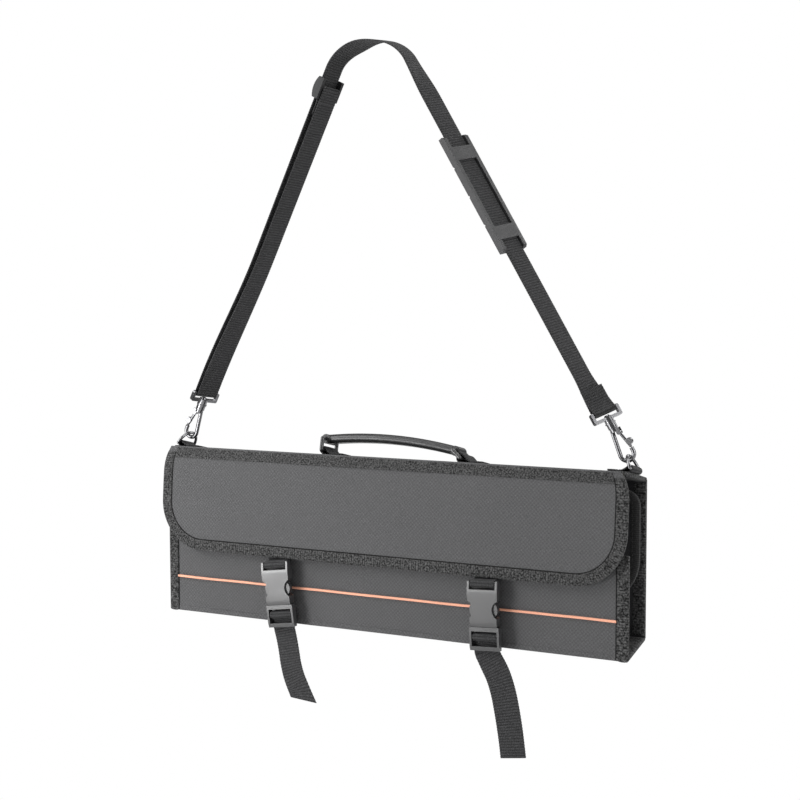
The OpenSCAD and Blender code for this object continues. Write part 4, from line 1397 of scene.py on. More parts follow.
@dataclass(frozen=True)
class Lid:
    """The lid: a shallow curved shell with tape round its outline and a band sewn along the fold.

    swell is the height of its cloth's ripple, and band_seam how far above the band's lower edge it is sewn.
    """

    over: float = 4.0
    shift: float = -2.0
    drop: float = 105.6
    lean: float = 8.0
    bulge: float = 1.3
    corner_r: float = 50.0
    band_w: float = 10.0
    band_seam: float = 1.2
    swell: float = 0.35
    band_drape: Drape = Drape(cut_x=9.0, cut_down=0.0, height=0.25, wave=30.0, seed=21.0)

    def foot(self, fold: Vector) -> Vector:
        """The middle of the lid's lower edge, at its outer face."""
        return fold + Vector((0, -self.lean, -self.drop))

    def skin_y(self, fold: Vector, z: float, depth: float) -> float:
        """How far back the lid lies at a height, at a depth inside its outer face.

        Args:
            fold: the lid's fold.
            z: the height.
            depth: the depth inside the outer face.

        Returns:
            The place along Y.
        """
        foot = self.foot(fold)
        chord = (foot - fold).length
        radius = (chord * chord / 4 + self.bulge * self.bulge) / (2 * self.bulge)
        along = (foot - fold) / chord
        out = Vector((0, along.z, -along.y))
        centre = (fold + foot) / 2 - out * (radius - self.bulge)
        reach = radius - depth
        return centre.y - math.sqrt(reach * reach - (z - centre.z) ** 2)

    def outline(self, fold_z: float, half_w: float) -> list[tuple[Vector, Vector]]:
        """Points in [x, z] round the lid, from one end of the fold to the other, and the ways in.

        Args:
            fold_z: height of the lid's fold.
            half_w: half the case's length.

        Returns:
            The points, each with its way in.
        """
        w = half_w + self.over / 2
        r, low, top = self.corner_r, fold_z - self.drop, fold_z - 2 * LAYERS.tape_clear - LAYERS.panel
        centre = Vector((-w + r, low + r))
        half = [(p, Vector((1, 0))) for p in divided(Vector((-w, top)), Vector((-w, centre.y)), 2.5)]
        half += [(p, (centre - p).normalized()) for p in arc(centre, r, 180, 270, 16)[1:]]
        half += [(p, Vector((0, 1))) for p in divided(half[-1][0], Vector((0, low)), 8.0)[1:]]
        return mirrored(half)

    def edge_stations(self, fold: Vector, half_w: float) -> list[Matrix]:
        """Stations round the lid's outline, on its curved shell.

        Args:
            fold: the lid's fold.
            half_w: half the case's length.

        Returns:
            The stations.
        """
        places, inwards = [], []
        for p, n in self.outline(fold.z, half_w):
            here, ahead = (self.skin_y(fold, p.y + step * n.y, LAYERS.panel / 2) for step in (0, 1))
            places.append(Vector((p.x + self.shift, here, p.y)))
            inwards.append(Vector((n.x, ahead - here, n.y)))
        return stations(places, inwards)

    def build(self, shop: Workshop) -> None:
        """Makes the lid's cloth, tape, fold band and stitches.

        Args:
            shop: the workshop that places the pieces.
        """
        fold = shop.places.fold
        down = (self.foot(fold) - fold).normalized()
        for node, stuff, swell in (("lid_cover", Stuff.FABRIC, self.swell),
                                   ("lid_lining", Stuff.LINING, self.swell), ("lid_board", Stuff.BOARD, 0.0)):
            drape = Drape(cut_x=12.0, cut_down=6.0, height=swell, wave=60.0, seed=7.0)
            shop.sheet(node, "cloth", stuff, "lid", drape, along=down)
        frames = self.edge_stations(fold, shop.places.half_w)
        shop.place("lid_tape", sweep(TAPE.section(), frames), Stuff.BINDING, "lid", ["lid_binding"])
        shop.thread("lid_tape_stitches", TAPE.seams(frames, FORWARD), "lid")
        self.fold_band(shop, down)

    def fold_band(self, shop: Workshop, down: Vector) -> None:
        """Makes the band along the fold, with the row of stitches near its lower edge.

        Args:
            shop: the workshop that places the pieces.
            down: direction down the lid.
        """
        shop.sheet("lid_fold_band", "tape", Stuff.BAND, "lid", self.band_drape, along=down)
        half = shop.places.half_w + self.over / 2 - LAYERS.tape_w - 1
        z = shop.places.fold.z - LAYERS.tape_clear - (self.band_w - self.band_seam)
        y = self.skin_y(shop.places.fold, z, -LAYERS.tape - 0.05)
        line = divided(Vector((self.shift - half, y, z)), Vector((self.shift + half, y, z)), 20.0)
        shop.thread("lid_fold_band_stitches", [stitches(line, FORWARD, 2.8)], "lid")


# Fabric over the folds


@dataclass(frozen=True)
class FoldStrip:
    """Fabric that bends round the corner between two panels' outer faces.

    reach is how far it runs down each panel, and proud how far it stands off the panel's fabric. turn is
    how far from the corner its bend begins, and nose how far inside the corner the bend's middle lies.
    hold is how far from the corner it starts to follow a panel alone when the fold moves.
    """

    name: str
    bodies: tuple[str, str]
    corner: Vector
    own: Vector
    other: Vector
    reach: float = 5.0
    proud: float = 0.12
    thick: float = 0.3
    turn: float = 1.1
    nose: float = 0.25
    hold: float = 1.6
    pitch: float = 1.3
    end_play: float = 0.4

    def build(self, shop: Workshop) -> None:
        """Makes the strip and lets it bend between the two bodies.

        Args:
            shop: the workshop that places the pieces.
        """
        out = -(self.own + self.other).normalized()
        lift = out * (self.proud / out.cross(self.own).length)
        near = [self.corner + way * self.turn + lift for way in (self.own, self.other)]
        far = [self.corner + way * self.reach + lift for way in (self.own, self.other)]
        line = divided(far[0], near[0], self.pitch)[:-1]
        line += smooth_path([near[0], self.corner - out * self.nose, near[1]], 3)
        line += divided(near[1], far[1], self.pitch)[1:]
        width = 2 * (shop.places.half_w - LAYERS.tape - self.end_play)
        bm = sweep(webbing_section(width, self.thick, 0.0), stations(line, X_AXIS))
        piece = shop.place(self.name, bm, Stuff.FABRIC, None)
        start, end = (shop.row(self.corner + way * self.hold) for way in (self.own, self.other))
        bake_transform(piece, *self.bodies, tuple(start), tuple(end))


# Shoulder strap


@dataclass(frozen=True)
class StrapShape:
    """Sizes of the shoulder strap: two straight legs and a crown between them.

    The webbing lies square to each hook's bar and turns about its leg on the way up. turns gives that
    as pairs of a distance above the D ring and an angle, and sway is how far the leg lies inwards from
    sway_to on, after easing in from sway_from. All turns are constant by far_up.
    eye_start is the angle at which the webbing begins round the left eye, and loop_reach the length of
    webbing below the slider that moves with it.
    crown_turns and drawn_in give the crown's turn, and how far it lies inside its circle, against the
    share of the way from its left end to its right.
    """

    lean: dict[Side, float]
    turns: dict[Side, tuple[tuple[float, float], ...]]
    sway: dict[Side, float]
    crown_turns: tuple[tuple[float, float], ...]
    drawn_in: tuple[tuple[float, float], ...]
    swivel_l: float = 46.0
    bar_r: float = 1.5
    crown_r: float = 47.7
    ring_lean: float = 27.85
    ring_inset: float = 4.0
    ring_r: float = 14.0
    ring_lift: float = 4.6
    slider_below: float = 115.07
    slider_bar_r: float = 1.3
    slider_travel: float = 150.0
    return_fold: float = 26.0
    stub_l: float = 24.0
    pad_at: float = 217.7
    sway_from: float = 60.0
    sway_to: float = 205.0
    far_up: float = 500.0
    crown_steps: int = 48
    leg_pitch: float = 6.0
    eye_start: float = 352.0
    loop_reach: float = 14.0
    loop_play: float = 0.9
    return_steps: int = 36
    edge_round: float = 0.7

    @property
    def wrap_r(self) -> float:
        """Radius of the webbing's middle round an eye's bar."""
        return WEB.round_bar(self.bar_r)

    def up(self, side: Side) -> Vector:
        """Direction up a leg."""
        a = math.radians(self.lean[side])
        return Vector((-side.value * math.sin(a), 0, math.cos(a)))

    def turn(self, side: Side, z: float) -> float:
        """Turn of the webbing about its leg at a distance above the ring, in degrees."""
        return eased(self.turns[side], z)

    def leg(self, side: Side, clip: Vector, z: float) -> Matrix:
        """Frame on a leg: X out of the webbing towards the middle of the case, Y across it, Z up the leg.

        Args:
            side: which leg.
            clip: where the leg's hook holds its D ring.
            z: distance above the ring.

        Returns:
            The frame.
        """
        a, t = math.radians(self.lean[side]), math.radians(self.turn(side, z))
        inward = Vector((-side.value * math.cos(a), 0, -math.sin(a)))
        face = inward * math.cos(t) + Vector((0, side.value * math.sin(t), 0))
        up = self.up(side)
        sway = eased(((self.sway_from, 0), (self.sway_to, self.sway[side])), z)
        return frame_of(clip + inward * sway, face, up.cross(face), up)


class Strap:
    """The shoulder strap, the part of it that runs back to the slider, the slider and the pad."""

    shape = StrapShape(
        lean={Side.LEFT: 25.2, Side.RIGHT: 30.5},
        turns={Side.LEFT: ((60, 20), (205, 9)), Side.RIGHT: ((48, 36), (86, 18), (386, 18), (432, 5))},
        sway={Side.LEFT: 6.0, Side.RIGHT: 0.0},
        crown_turns=((0, -9), (0.3, -15), (0.65, 5), (1, 5)),
        drawn_in=((0, 0), (0.4, 4.0), (1, 0)),
    )

    def __init__(self, places: CaseFrame) -> None:
        """Works out the strap's lines from the case's top.

        Args:
            places: the case's places.
        """
        s = self.shape
        lean = math.radians(s.ring_lean)
        middle = places.on_top @ Vector((0, places.top_len / 2, s.ring_lift))
        reach = places.half_w - s.ring_inset - s.ring_r * math.sin(lean)
        top_z = middle.z + s.ring_r * math.cos(lean)
        self.clip = {side: Vector((side.value * reach, middle.y, top_z)) for side in Side}
        packed_reach, _ = self.apex(0.0)
        self.slider_at = packed_reach - s.slider_below
        reach, top = self.apex(math.inf)
        half_apex = math.radians(s.lean[Side.LEFT] + s.lean[Side.RIGHT]) / 2
        self.leg_end = reach - s.crown_r / math.tan(half_apex)
        bisector = (s.up(Side.LEFT) + s.up(Side.RIGHT)).normalized()
        self.centre = top - bisector * s.crown_r / math.sin(half_apex)

    def apex(self, z: float) -> tuple[float, Vector]:
        """How far up the left leg the two legs' lines meet, with the turn they have at z, and where.

        Args:
            z: distance above the ring whose turn is used.

        Returns:
            The distance up the left leg, and the place.
        """
        s = self.shape
        left, right = (
            s.leg(side, self.clip[side], z) @ Vector((side.value * s.wrap_r, 0, 0)) for side in Side
        )
        ul, ur = s.up(Side.LEFT), s.up(Side.RIGHT)
        gap = right - left
        reach = (gap.x * ur.z - gap.z * ur.x) / (ul.x * ur.z - ul.z * ur.x)
        return reach, left + ul * reach

    def crown(self, share: float) -> tuple[Vector, Vector]:
        """The crown's place and the direction across it, at a share of the way from left to right.

        Args:
            share: the share of the way.

        Returns:
            The place and the direction across.
        """
        s = self.shape
        start, stop = 180 - s.lean[Side.LEFT], s.lean[Side.RIGHT]
        a = math.radians(start + (stop - start) * share)
        t = math.radians(eased(s.crown_turns, share))
        out = Vector((math.cos(a), 0, math.sin(a)))
        ends = [self.on_web(side, side.value * s.wrap_r, s.far_up).y for side in Side]
        y = ends[0] + (ends[1] - ends[0]) * share
        place = Vector((self.centre.x, y, self.centre.z)) + (s.crown_r - eased(s.drawn_in, share)) * out
        return place, Vector((0, math.cos(t), 0)) + math.sin(t) * out

    def on_web(self, side: Side, x: float, z: float) -> Vector:
        """A place beside a leg: X towards the middle of the case from the ring, Z up the leg."""
        return self.shape.leg(side, self.clip[side], z) @ Vector((x, 0, z))

    def across(self, side: Side, z: float) -> Vector:
        """Direction across a leg's webbing, from its front edge to its back edge."""
        return self.shape.leg(side, self.clip[side], z).to_3x3() @ Vector((0, -side.value, 0))

    def turned(self, side: Side, z: float) -> Matrix:
        """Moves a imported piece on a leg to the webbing's turn at a distance above the ring."""
        leg = self.shape.leg
        return leg(side, self.clip[side], z) @ leg(side, self.clip[side], 0.0).inverted()

    def up_leg(self, side: Side, x: float, low: float, high: float) -> list[tuple[Vector, Vector]]:
        """Places up a leg, with the direction across the webbing at each.

        Args:
            side: which leg.
            x: distance from the leg's line, towards the middle of the case.
            low: where it starts above the ring.
            high: where it stops.

        Returns:
            The places and directions.
        """
        count = round((high - low) / self.shape.leg_pitch)
        stops = [low + (high - low) * i / count for i in range(count + 1)]
        return [(self.on_web(side, x, z), self.across(side, z)) for z in stops]

    def bend(self, side: Side, centre: tuple[float, float], r: float, start: float, stop: float,
             count: int = 12) -> list[Vector]:
        """Places on an arc of webbing round a bar beside a leg."""
        return [self.on_web(side, p.x, p.y) for p in arc(centre, r, start, stop, count)]

    def build(self, shop: Workshop) -> None:
        """Makes the strap's pieces.

        Args:
            shop: the workshop that places the pieces.
        """
        s = self.shape
        crowns = [self.crown(i / s.crown_steps) for i in range(s.crown_steps + 1)]
        right_across = self.across(Side.RIGHT, s.swivel_l)
        start = self.bend(Side.LEFT, (0, s.swivel_l), s.wrap_r, s.eye_start, 180)
        left = self.up_leg(Side.LEFT, -s.wrap_r, s.swivel_l, self.leg_end)[1:-1]
        right_end = (crowns[-1][0] - self.clip[Side.RIGHT]).dot(s.up(Side.RIGHT))
        right = self.up_leg(Side.RIGHT, s.wrap_r, s.swivel_l, right_end)[-2:0:-1]
        stop = self.bend(Side.RIGHT, (0, s.swivel_l), s.wrap_r, 360, 180)
        stub_x = s.wrap_r - WEB.thick - 0.15
        stub = [self.on_web(Side.RIGHT, x, s.swivel_l + z)
                for x, z in ((-0.6, 5.0), (stub_x - 0.1, 10.5), (stub_x, 14.0), (stub_x, s.stub_l))]
        sewn = stop + smooth_path([stop[-1], *stub], 4)[1:]
        line = [(p, self.across(Side.LEFT, s.swivel_l)) for p in start] + left + crowns + right
        line += [(p, right_across) for p in sewn]
        shop.place("shoulder_strap_web", webbing(line), Stuff.WEBBING, "strap", ["shoulder_strap"])
        self.stub_stitches(shop, right_across)
        self.returning(shop)
        for node, body, side, z, stuff in (
            ("strap_slider", "slider", Side.LEFT, self.slider_at, Stuff.SLIDER),
            ("shoulder_pad", "pad", Side.RIGHT, s.pad_at, Stuff.PAD),
        ):
            bm = shop.copy_of(node)
            bmesh.ops.transform(bm, matrix=self.turned(side, z), verts=bm.verts)
            round_edges(bm, s.edge_round)
            shop.place(f"{node}_finished", bm, stuff, body, [node], sharp=50)

    def stub_stitches(self, shop: Workshop, across: Vector) -> None:
        """Makes the box of stitches that holds the strap's sewn end.

        Args:
            shop: the workshop that places the pieces.
            across: direction across the webbing there.
        """
        s = self.shape
        x = s.wrap_r - 1.5 * WEB.thick - 0.35
        foot, top, half = s.swivel_l + 15, s.swivel_l + s.stub_l - 2, WEB.width / 2 - 3
        corners = [self.on_web(Side.RIGHT, x, z) + across * v
                   for v, z in ((-half, foot), (half, foot), (half, top), (-half, top))]
        out = self.on_web(Side.RIGHT, 0, top) - self.on_web(Side.RIGHT, 1, top)
        shop.thread("shoulder_strap_stitches", stitched_box(corners, out), "strap")

    def returning(self, shop: Workshop) -> None:
        """Makes the webbing that runs back from the eye to the slider and round its middle bar.

        Args:
            shop: the workshop that places the pieces.
        """
        s = self.shape
        wrap = WEB.round_bar(s.slider_bar_r)
        bar_x = -s.wrap_r + WEB.thick / 2 + WEB.play + WEB.thick + WEB.play + s.slider_bar_r
        outer = bar_x + wrap
        run = self.slider_at - s.swivel_l
        cut = run - s.loop_reach
        stops = [cut * i / s.return_steps for i in range(s.return_steps + 1)]
        line = [(self.on_web(Side.LEFT, s.wrap_r + (outer - s.wrap_r) * z / run, s.swivel_l + z),
                 self.across(Side.LEFT, s.swivel_l + z)) for z in stops]
        straight = shop.place("strap_return_web", webbing(line), Stuff.WEBBING, "strap", ["strap_return"])
        tuple(s.up(Side.LEFT))
        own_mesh(straight)
        turn = self.bend(Side.LEFT, (bar_x, self.slider_at), wrap, 15, 165, 8)
        tail_x = outer - WEB.thick - s.loop_play
        tail = [self.on_web(Side.LEFT, x, self.slider_at - z)
                for x, z in ((bar_x - wrap, 3.0), (tail_x, 15.0), (tail_x, s.return_fold))]
        points = [line[-1][0], self.on_web(Side.LEFT, outer, self.slider_at)] + turn[1:]
        points += smooth_path([turn[-1], *tail], 4)[1:]
        across = self.across(Side.LEFT, self.slider_at)
        shop.place("slider_web_loop", webbing([(p, across) for p in points]), Stuff.WEBBING, "slider")


def stitched_box(corners: Sequence[Vector], out: Vector) -> list[bmesh.types.BMesh]:
    """Rows of stitches round four corners and across them both ways.

    Args:
        corners: the box's four corners, in order.
        out: direction out of the cloth.

    Returns:
        The rows.
    """
    a, b, c, d = corners
    rows = ((a, b), (b, c), (c, d), (d, a), (a, c), (b, d))
    return [stitches(row, out, 1.8, 2.6, 0.4) for row in rows]


@dataclass(frozen=True)
class TabLoop:
    """A loop of webbing round a bar, with both ends sewn flat on the panel as one foot."""

    bar: tuple[float, float]
    wrap_r: float
    width: float
    foot: float = 22.0

    def build(self, frame: Matrix) -> bmesh.types.BMesh:
        """The loop, drawn in [x, z] of a frame whose Y runs across the webbing.

        Args:
            frame: the frame.

        Returns:
            The loop's mesh.
        """
        x, t = self.bar[0], WEB.thick
        upper = [Vector((x + reach, 1.5 * t)) for reach in (self.foot, self.foot - 6, self.wrap_r + 5.5)]
        lower = [Vector((x + reach, 0.5 * t)) for reach in (2.0, 6.0, self.foot - 0.5)]
        turn = arc(self.bar, self.wrap_r, 60, 236, 16)
        line = smooth_path([*upper, turn[0]], 4)[:-1] + turn + smooth_path([turn[-1], *lower], 3)[1:]
        across = frame.to_3x3() @ Vector((0, 1, 0))
        points = [frame @ Vector((p.x, 0, p.y)) for p in line]
        return sweep(webbing_section(self.width), stations(points, across))

    def stitches(self, frame: Matrix) -> list[bmesh.types.BMesh]:
        """A sewn box with a cross on the foot.

        Args:
            frame: the loop's frame.

        Returns:
            The rows of stitches.
        """
        z, half = 2 * WEB.thick + 0.12, self.width / 2 - 3
        low, high = self.bar[0] + self.wrap_r + 7.0, self.bar[0] + self.foot - 2.0
        box = ((low, -half), (high, -half), (high, half), (low, half))
        return stitched_box([frame @ Vector((x, y, z)) for x, y in box], frame.to_3x3() @ UP)


@dataclass(frozen=True)
class Hooks:
    """The swivel eyes, snap hooks, gates and D rings with their webbing tabs.

    The four rounds are the radii of the pieces' edges.
    """

    tab_w: float = 24.0
    swivel_round: float = 0.4
    hook_round: float = 0.3
    gate_round: float = 0.25
    ring_round: float = 0.2

    def build(self, shop: Workshop, shape: StrapShape) -> None:
        """Makes the metal pieces and the tabs.

        Args:
            shop: the workshop that places the pieces.
            shape: the strap's sizes.
        """
        places = shop.places
        for side in Side:
            word = side.word
            shop.refine(f"{word}_swivel", Stuff.METAL, "strap", self.swivel_round)
            shop.refine(f"{word}_hook", Stuff.METAL, f"{word}_hook", self.hook_round)
            shop.refine(f"{word}_gate", Stuff.METAL, f"{word}_gate", self.gate_round)
            shop.refine(f"{word}_d_ring", Stuff.METAL, f"{word}_ring", self.ring_round)
            mirror = Matrix.Diagonal((-side.value, 1, 1, 1))
            foot = Vector((shape.ring_inset - places.half_w, places.top_len / 2, 0))
            frame = mirror @ places.on_top @ Matrix.Translation(foot)
            loop = TabLoop((0.0, shape.ring_lift), shape.wrap_r, self.tab_w)
            node = f"{word}_ring_tab"
            shop.place(f"{node}_web", loop.build(frame), Stuff.WEBBING, "top", [node])
            shop.thread(f"{node}_stitches", loop.stitches(frame), "top")


@dataclass(frozen=True)
class Handle:
    """The carry handle: an arched grip between two loops that stand in sewn tabs."""

    left_tab: TabLoop = TabLoop(bar=(-73.0, 6.0), wrap_r=3.0, width=WEB.width)
    right_tab: TabLoop = TabLoop(bar=(78.0, 5.0), wrap_r=4.0, width=WEB.width)
    grip_round: float = 0.7
    loop_round: float = 0.4

    def build(self, shop: Workshop) -> None:
        """Makes the grip, the loops and the tabs.

        Args:
            shop: the workshop that places the pieces.
        """
        shop.refine("handle_grip", Stuff.GRIP, "grip", self.grip_round)
        frame = shop.places.on_top @ Matrix.Translation((0, shop.places.top_len / 2, 0))
        webs, rows = [], []
        for side, tab in zip(Side, (self.left_tab, self.right_tab)):
            shop.refine(f"{side.word}_handle_loop", Stuff.PLASTIC, f"{side.word}_loop", self.loop_round)
            webs.append(tab.build(frame))
            rows += tab.stitches(frame)
        shop.place("handle_tab_webs", merged(webs), Stuff.WEBBING, "top", ["handle_tabs"])
        shop.thread("handle_tab_stitches", rows, "top")


# Buckles


@dataclass(frozen=True)
class Buckle:
    """A side-release buckle, the webbing above it and the adjuster's webbing with its loose end.

    tail and turns are the loose end's places and its turn at each in degrees, and slant is its last cut's.
    """

    side: Side
    lean: float
    drop: float
    tail: tuple[tuple[float, float, float], ...]
    turns: tuple[float, ...]
    slant: float
    pitch: float = 226.0
    stand: float = 11.5
    bar_r: float = 1.9
    lock_z: float = -49.8
    sewn_l: float = 9.0
    lid_play: float = 0.4
    socket_round: float = 0.6
    arm_round: float = 0.4
    plug_round: float = 0.5

    @property
    def wrap_r(self) -> float:
        """Radius of the webbing's middle round a bar."""
        return WEB.round_bar(self.bar_r)

    def frame(self, lid_foot: Vector) -> Matrix:
        """Frame of the buckle: origin on the socket's top bar, X across the webbing, Z up."""
        place = Vector((self.side.value * self.pitch / 2, -self.stand, lid_foot.z - self.drop))
        return Matrix.Translation(place) @ Matrix.Rotation(math.radians(-self.lean), 4, "Y")

    def build(self, shop: Workshop, lid: Lid) -> None:
        """Makes the buckle's pieces.

        Args:
            shop: the workshop that places the pieces.
            lid: the lid that carries the socket.
        """
        word = self.side.word
        frame = self.frame(lid.foot(shop.places.fold))
        shop.refine(f"{word}_socket", Stuff.PLASTIC, "lid", self.socket_round)
        for hand in ("outer", "inner"):
            shop.refine(f"{word}_arm_{hand}", Stuff.PLASTIC, f"{word}_arm_{hand}", self.arm_round)
        shop.refine(f"{word}_plug", Stuff.PLASTIC, "front", self.plug_round)
        for line, across, slant, node, body in (
            (*self.upper_line(shop.places.fold, lid, frame), 0.0, f"{word}_lid_web", "lid"),
            (*self.lower_line(frame), self.slant, f"{word}_front_web", "front"),
        ):
            shop.place(f"{node}_run", webbing(list(zip(line, across)), slant), Stuff.WEBBING, body, [node])

    def upper_line(self, fold: Vector, lid: Lid, frame: Matrix) -> tuple[list[Vector], list[Vector]]:
        """Line of the webbing from inside the lid round the socket's bar, and its directions across.

        Args:
            fold: the lid's fold.
            lid: the lid.
            frame: the buckle's frame.

        Returns:
            The line and the directions.
        """
        foot_z = lid.foot(fold).z
        line = []
        turn = WEB.thick / 2 + WEB.width / 2 * math.sin(math.radians(self.lean)) + self.lid_play
        for rise in (14.0, 10.0, 6.0, 2.0, -turn):
            inside = lid.skin_y(fold, max(foot_z + rise, foot_z), LAYERS.panel)
            back = inside + self.stand + LAYERS.tape + self.lid_play + WEB.thick / 2
            line.append(Vector((0, back, self.drop + rise)))
        line += [Vector((0, p.x, p.y)) for p in arc((0, 0), self.wrap_r, 76, 330, 18)]
        return [frame @ p for p in line], [frame.to_3x3() @ X_AXIS] * len(line)

    def lower_line(self, frame: Matrix) -> tuple[list[Vector], list[Vector]]:
        """Line of the webbing from the front panel round the plug's middle bar to its loose end.

        Args:
            frame: the buckle's frame.

        Returns:
            The line and the directions across it.
        """
        panel_y, foot = self.stand - WEB.thick / 2, self.lock_z - 6.2
        line = [Vector((0, panel_y, foot)), Vector((0, panel_y, foot + self.sewn_l * 0.6)),
                Vector((0, panel_y - 0.8, foot + self.sewn_l))]
        line += [Vector((0, p.x, p.y + self.lock_z)) for p in arc((0, 0), self.wrap_r, 60, 285, 16)]
        points = [frame @ p for p in line]
        points.append(points[-1].lerp(Vector(self.tail[0]), 0.4) + Vector((0, 0.25, 0)))
        across = [frame.to_3x3() @ X_AXIS] * len(points)
        points += smooth_path([Vector(p) for p in self.tail], 4)
        turned = smooth_path([Vector((math.radians(a), 0)) for a in self.turns], 4)
        across += [Vector((math.cos(a.x), -math.sin(a.x), 0)) for a in turned]
        return points, across


BUCKLES = (
    Buckle(
        Side.LEFT,
        lean=8.0,
        drop=6.0,
        tail=((-105.5, -8.3, -3), (-102.5, -8.6, -14), (-99.5, -9.5, -26), (-96.5, -11, -38),
              (-92, -12.6, -50), (-86, -14, -61), (-79.5, -15.2, -72)),
        turns=(2, 4, 5, 5, 4, 3, 2),
        slant=0.7,
    ),
    Buckle(
        Side.RIGHT,
        lean=3.0,
        drop=5.0,
        tail=((115, -8.3, -3), (120.5, -9, -12), (128, -10.6, -24), (133.6, -12, -38),
              (137.6, -13.2, -53), (141, -14.2, -69), (143.6, -15, -84), (145.5, -15.4, -98)),
        turns=(0, -1, -3, -4, -5, -5, -4, -4),
        slant=0.0,
    ),
)


# Inside


@dataclass(frozen=True)
class Interior:
    """What is sewn inside: knife sleeves, tool channels, the flap and the ledge that carries it."""

    flap_y: float = 35.4
    flap_top: float = 151.0
    flap_h: float = 108.0
    flap_half: float = 249.0
    flap_t: float = 2.2
    low_r: float = 45.0
    top_r: float = 15.0

    def build(self, shop: Workshop) -> None:
        """Makes the inner pieces.

        Args:
            shop: the workshop that places the pieces.
        """
        for node, body, seed in (("knife_sleeves", "back", 3.0), ("tool_pocket", "front", 13.0),
                                 ("flap_header", "back", 5.0), ("inner_flap", "flap", 9.0)):
            drape = Drape(cut_x=14.0, cut_down=12.0, height=0.3, wave=40.0, seed=seed)
            shop.sheet(node, "cloth", Stuff.LINING, body, drape)
        tape = FoldedTape(depth=self.flap_t, width=LAYERS.tape_w * 0.7, seam_in=1.6, corner_r=1.2)
        frames = self.flap_stations()
        bm = sweep(tape.section(), frames, ring=True)
        shop.place("flap_tape", bm, Stuff.FLAT_TAPE, "flap", ["flap_binding"])
        shop.thread("flap_tape_stitches", tape.seams(frames, FORWARD), "flap")

    def flap_stations(self) -> list[Matrix]:
        """Stations round the flap's outline, from the middle of its upper edge and back to it.

        Returns:
            The stations.
        """
        w, top, low = self.flap_half, self.flap_top, self.flap_top - self.flap_h
        y = self.flap_y - LAYERS.tape - self.flap_t / 2
        upper = Vector((-w + self.top_r, top - self.top_r))
        lower = Vector((-w + self.low_r, low + self.low_r))
        half = [(p, Vector((0, -1))) for p in divided(Vector((0, top)), Vector((upper.x, top)), 8.0)[:-1]]
        half += [(p, (upper - p).normalized()) for p in arc(upper, self.top_r, 90, 180, 12)]
        half += [(p, Vector((1, 0))) for p in divided(half[-1][0], Vector((-w, lower.y)), 6.0)[1:-1]]
        half += [(p, (lower - p).normalized()) for p in arc(lower, self.low_r, 180, 270, 12)]
        half += [(p, Vector((0, 1))) for p in divided(half[-1][0], Vector((0, low)), 8.0)[1:]]
        return [
            station(Vector((p.x, y, p.y)), Vector((n.x, 0, n.y)), Vector((n.y, 0, -n.x)))
            for p, n in mirrored(half)
        ]


# The whole case


class KnifeCase:
    """Builds the case's sub-assemblies in order."""

    def __init__(self, shop: Workshop) -> None:
        """Takes the workshop that places the pieces."""
        self.shop = shop

    def build(self) -> None:
        """Builds every sub-assembly."""
        shop, lid = self.shop, Lid()
        self.body(lid)
        lid.build(shop)
        strap = Strap(shop.places)
        strap.build(shop)
        Hooks().build(shop, strap.shape)
        Handle().build(shop)
        for buckle in BUCKLES:
            buckle.build(shop, lid)
        Interior().build(shop)
        LOG.info("made %d pieces", len(shop.made))

    def body(self, lid: Lid) -> None:
        """Builds the flat panels and the fabric over their folds.

        Args:
            lid: the lid, for the strip over its fold.
        """
        places, foot = self.shop.places, Vector((0, 0, 0))
        fold, back_top, back_foot = places.fold, places.back_top, places.back_foot
        top_back = (back_top - fold).normalized()
        base_back = (back_foot - foot).normalized()
        back_up = (back_top - back_foot).normalized()
        lid_down = (lid.foot(fold) - fold).normalized()
        for panel in (
            FlatPanel("top", Mitre(fold, top_back, DOWN), Mitre(back_top, -top_back, DOWN), 11.0),
            FlatPanel("back", Mitre(back_foot, back_up, -base_back),
                      Mitre(back_top, -back_up, -top_back), 17.0),
            FlatPanel("base", Mitre(foot, base_back, UP), Mitre(back_foot, -base_back, UP), 23.0),
            FrontPanel(Mitre(foot, UP, base_back)),
            FoldStrip("lid_fold_strip", ("top", "lid"), fold, top_back, lid_down, reach=1.9),
            FoldStrip("back_fold_strip", ("top", "back"), back_top, -top_back, -back_up),
            FoldStrip("bottom_fold_strip", ("back", "base"), back_foot, back_up, -base_back),
            FoldStrip("front_fold_strip", ("base", "front"), foot, base_back, UP),
        ):
            panel.build(self.shop)


# Stage


@dataclass(frozen=True)
class SoftBox:
    """A rectangular studio lamp."""

    name: str
    place: tuple[float, float, float]
    target: tuple[float, float, float]
    size: tuple[float, float]
    watts: float

    def build(self) -> None:
        """Makes the lamp and points it at its target."""
        data = bpy.data.lights.new(self.name, "AREA")
        data.shape = "RECTANGLE"
        data.size, data.size_y = self.size
        data.energy = self.watts
        lamp = bpy.data.objects.new(self.name, data)
        lamp.location = self.place
        aim = Vector(self.target) - Vector(self.place)
        lamp.rotation_euler = aim.to_track_quat("-Z", "Y").to_euler()
        bpy.context.scene.collection.objects.link(lamp)


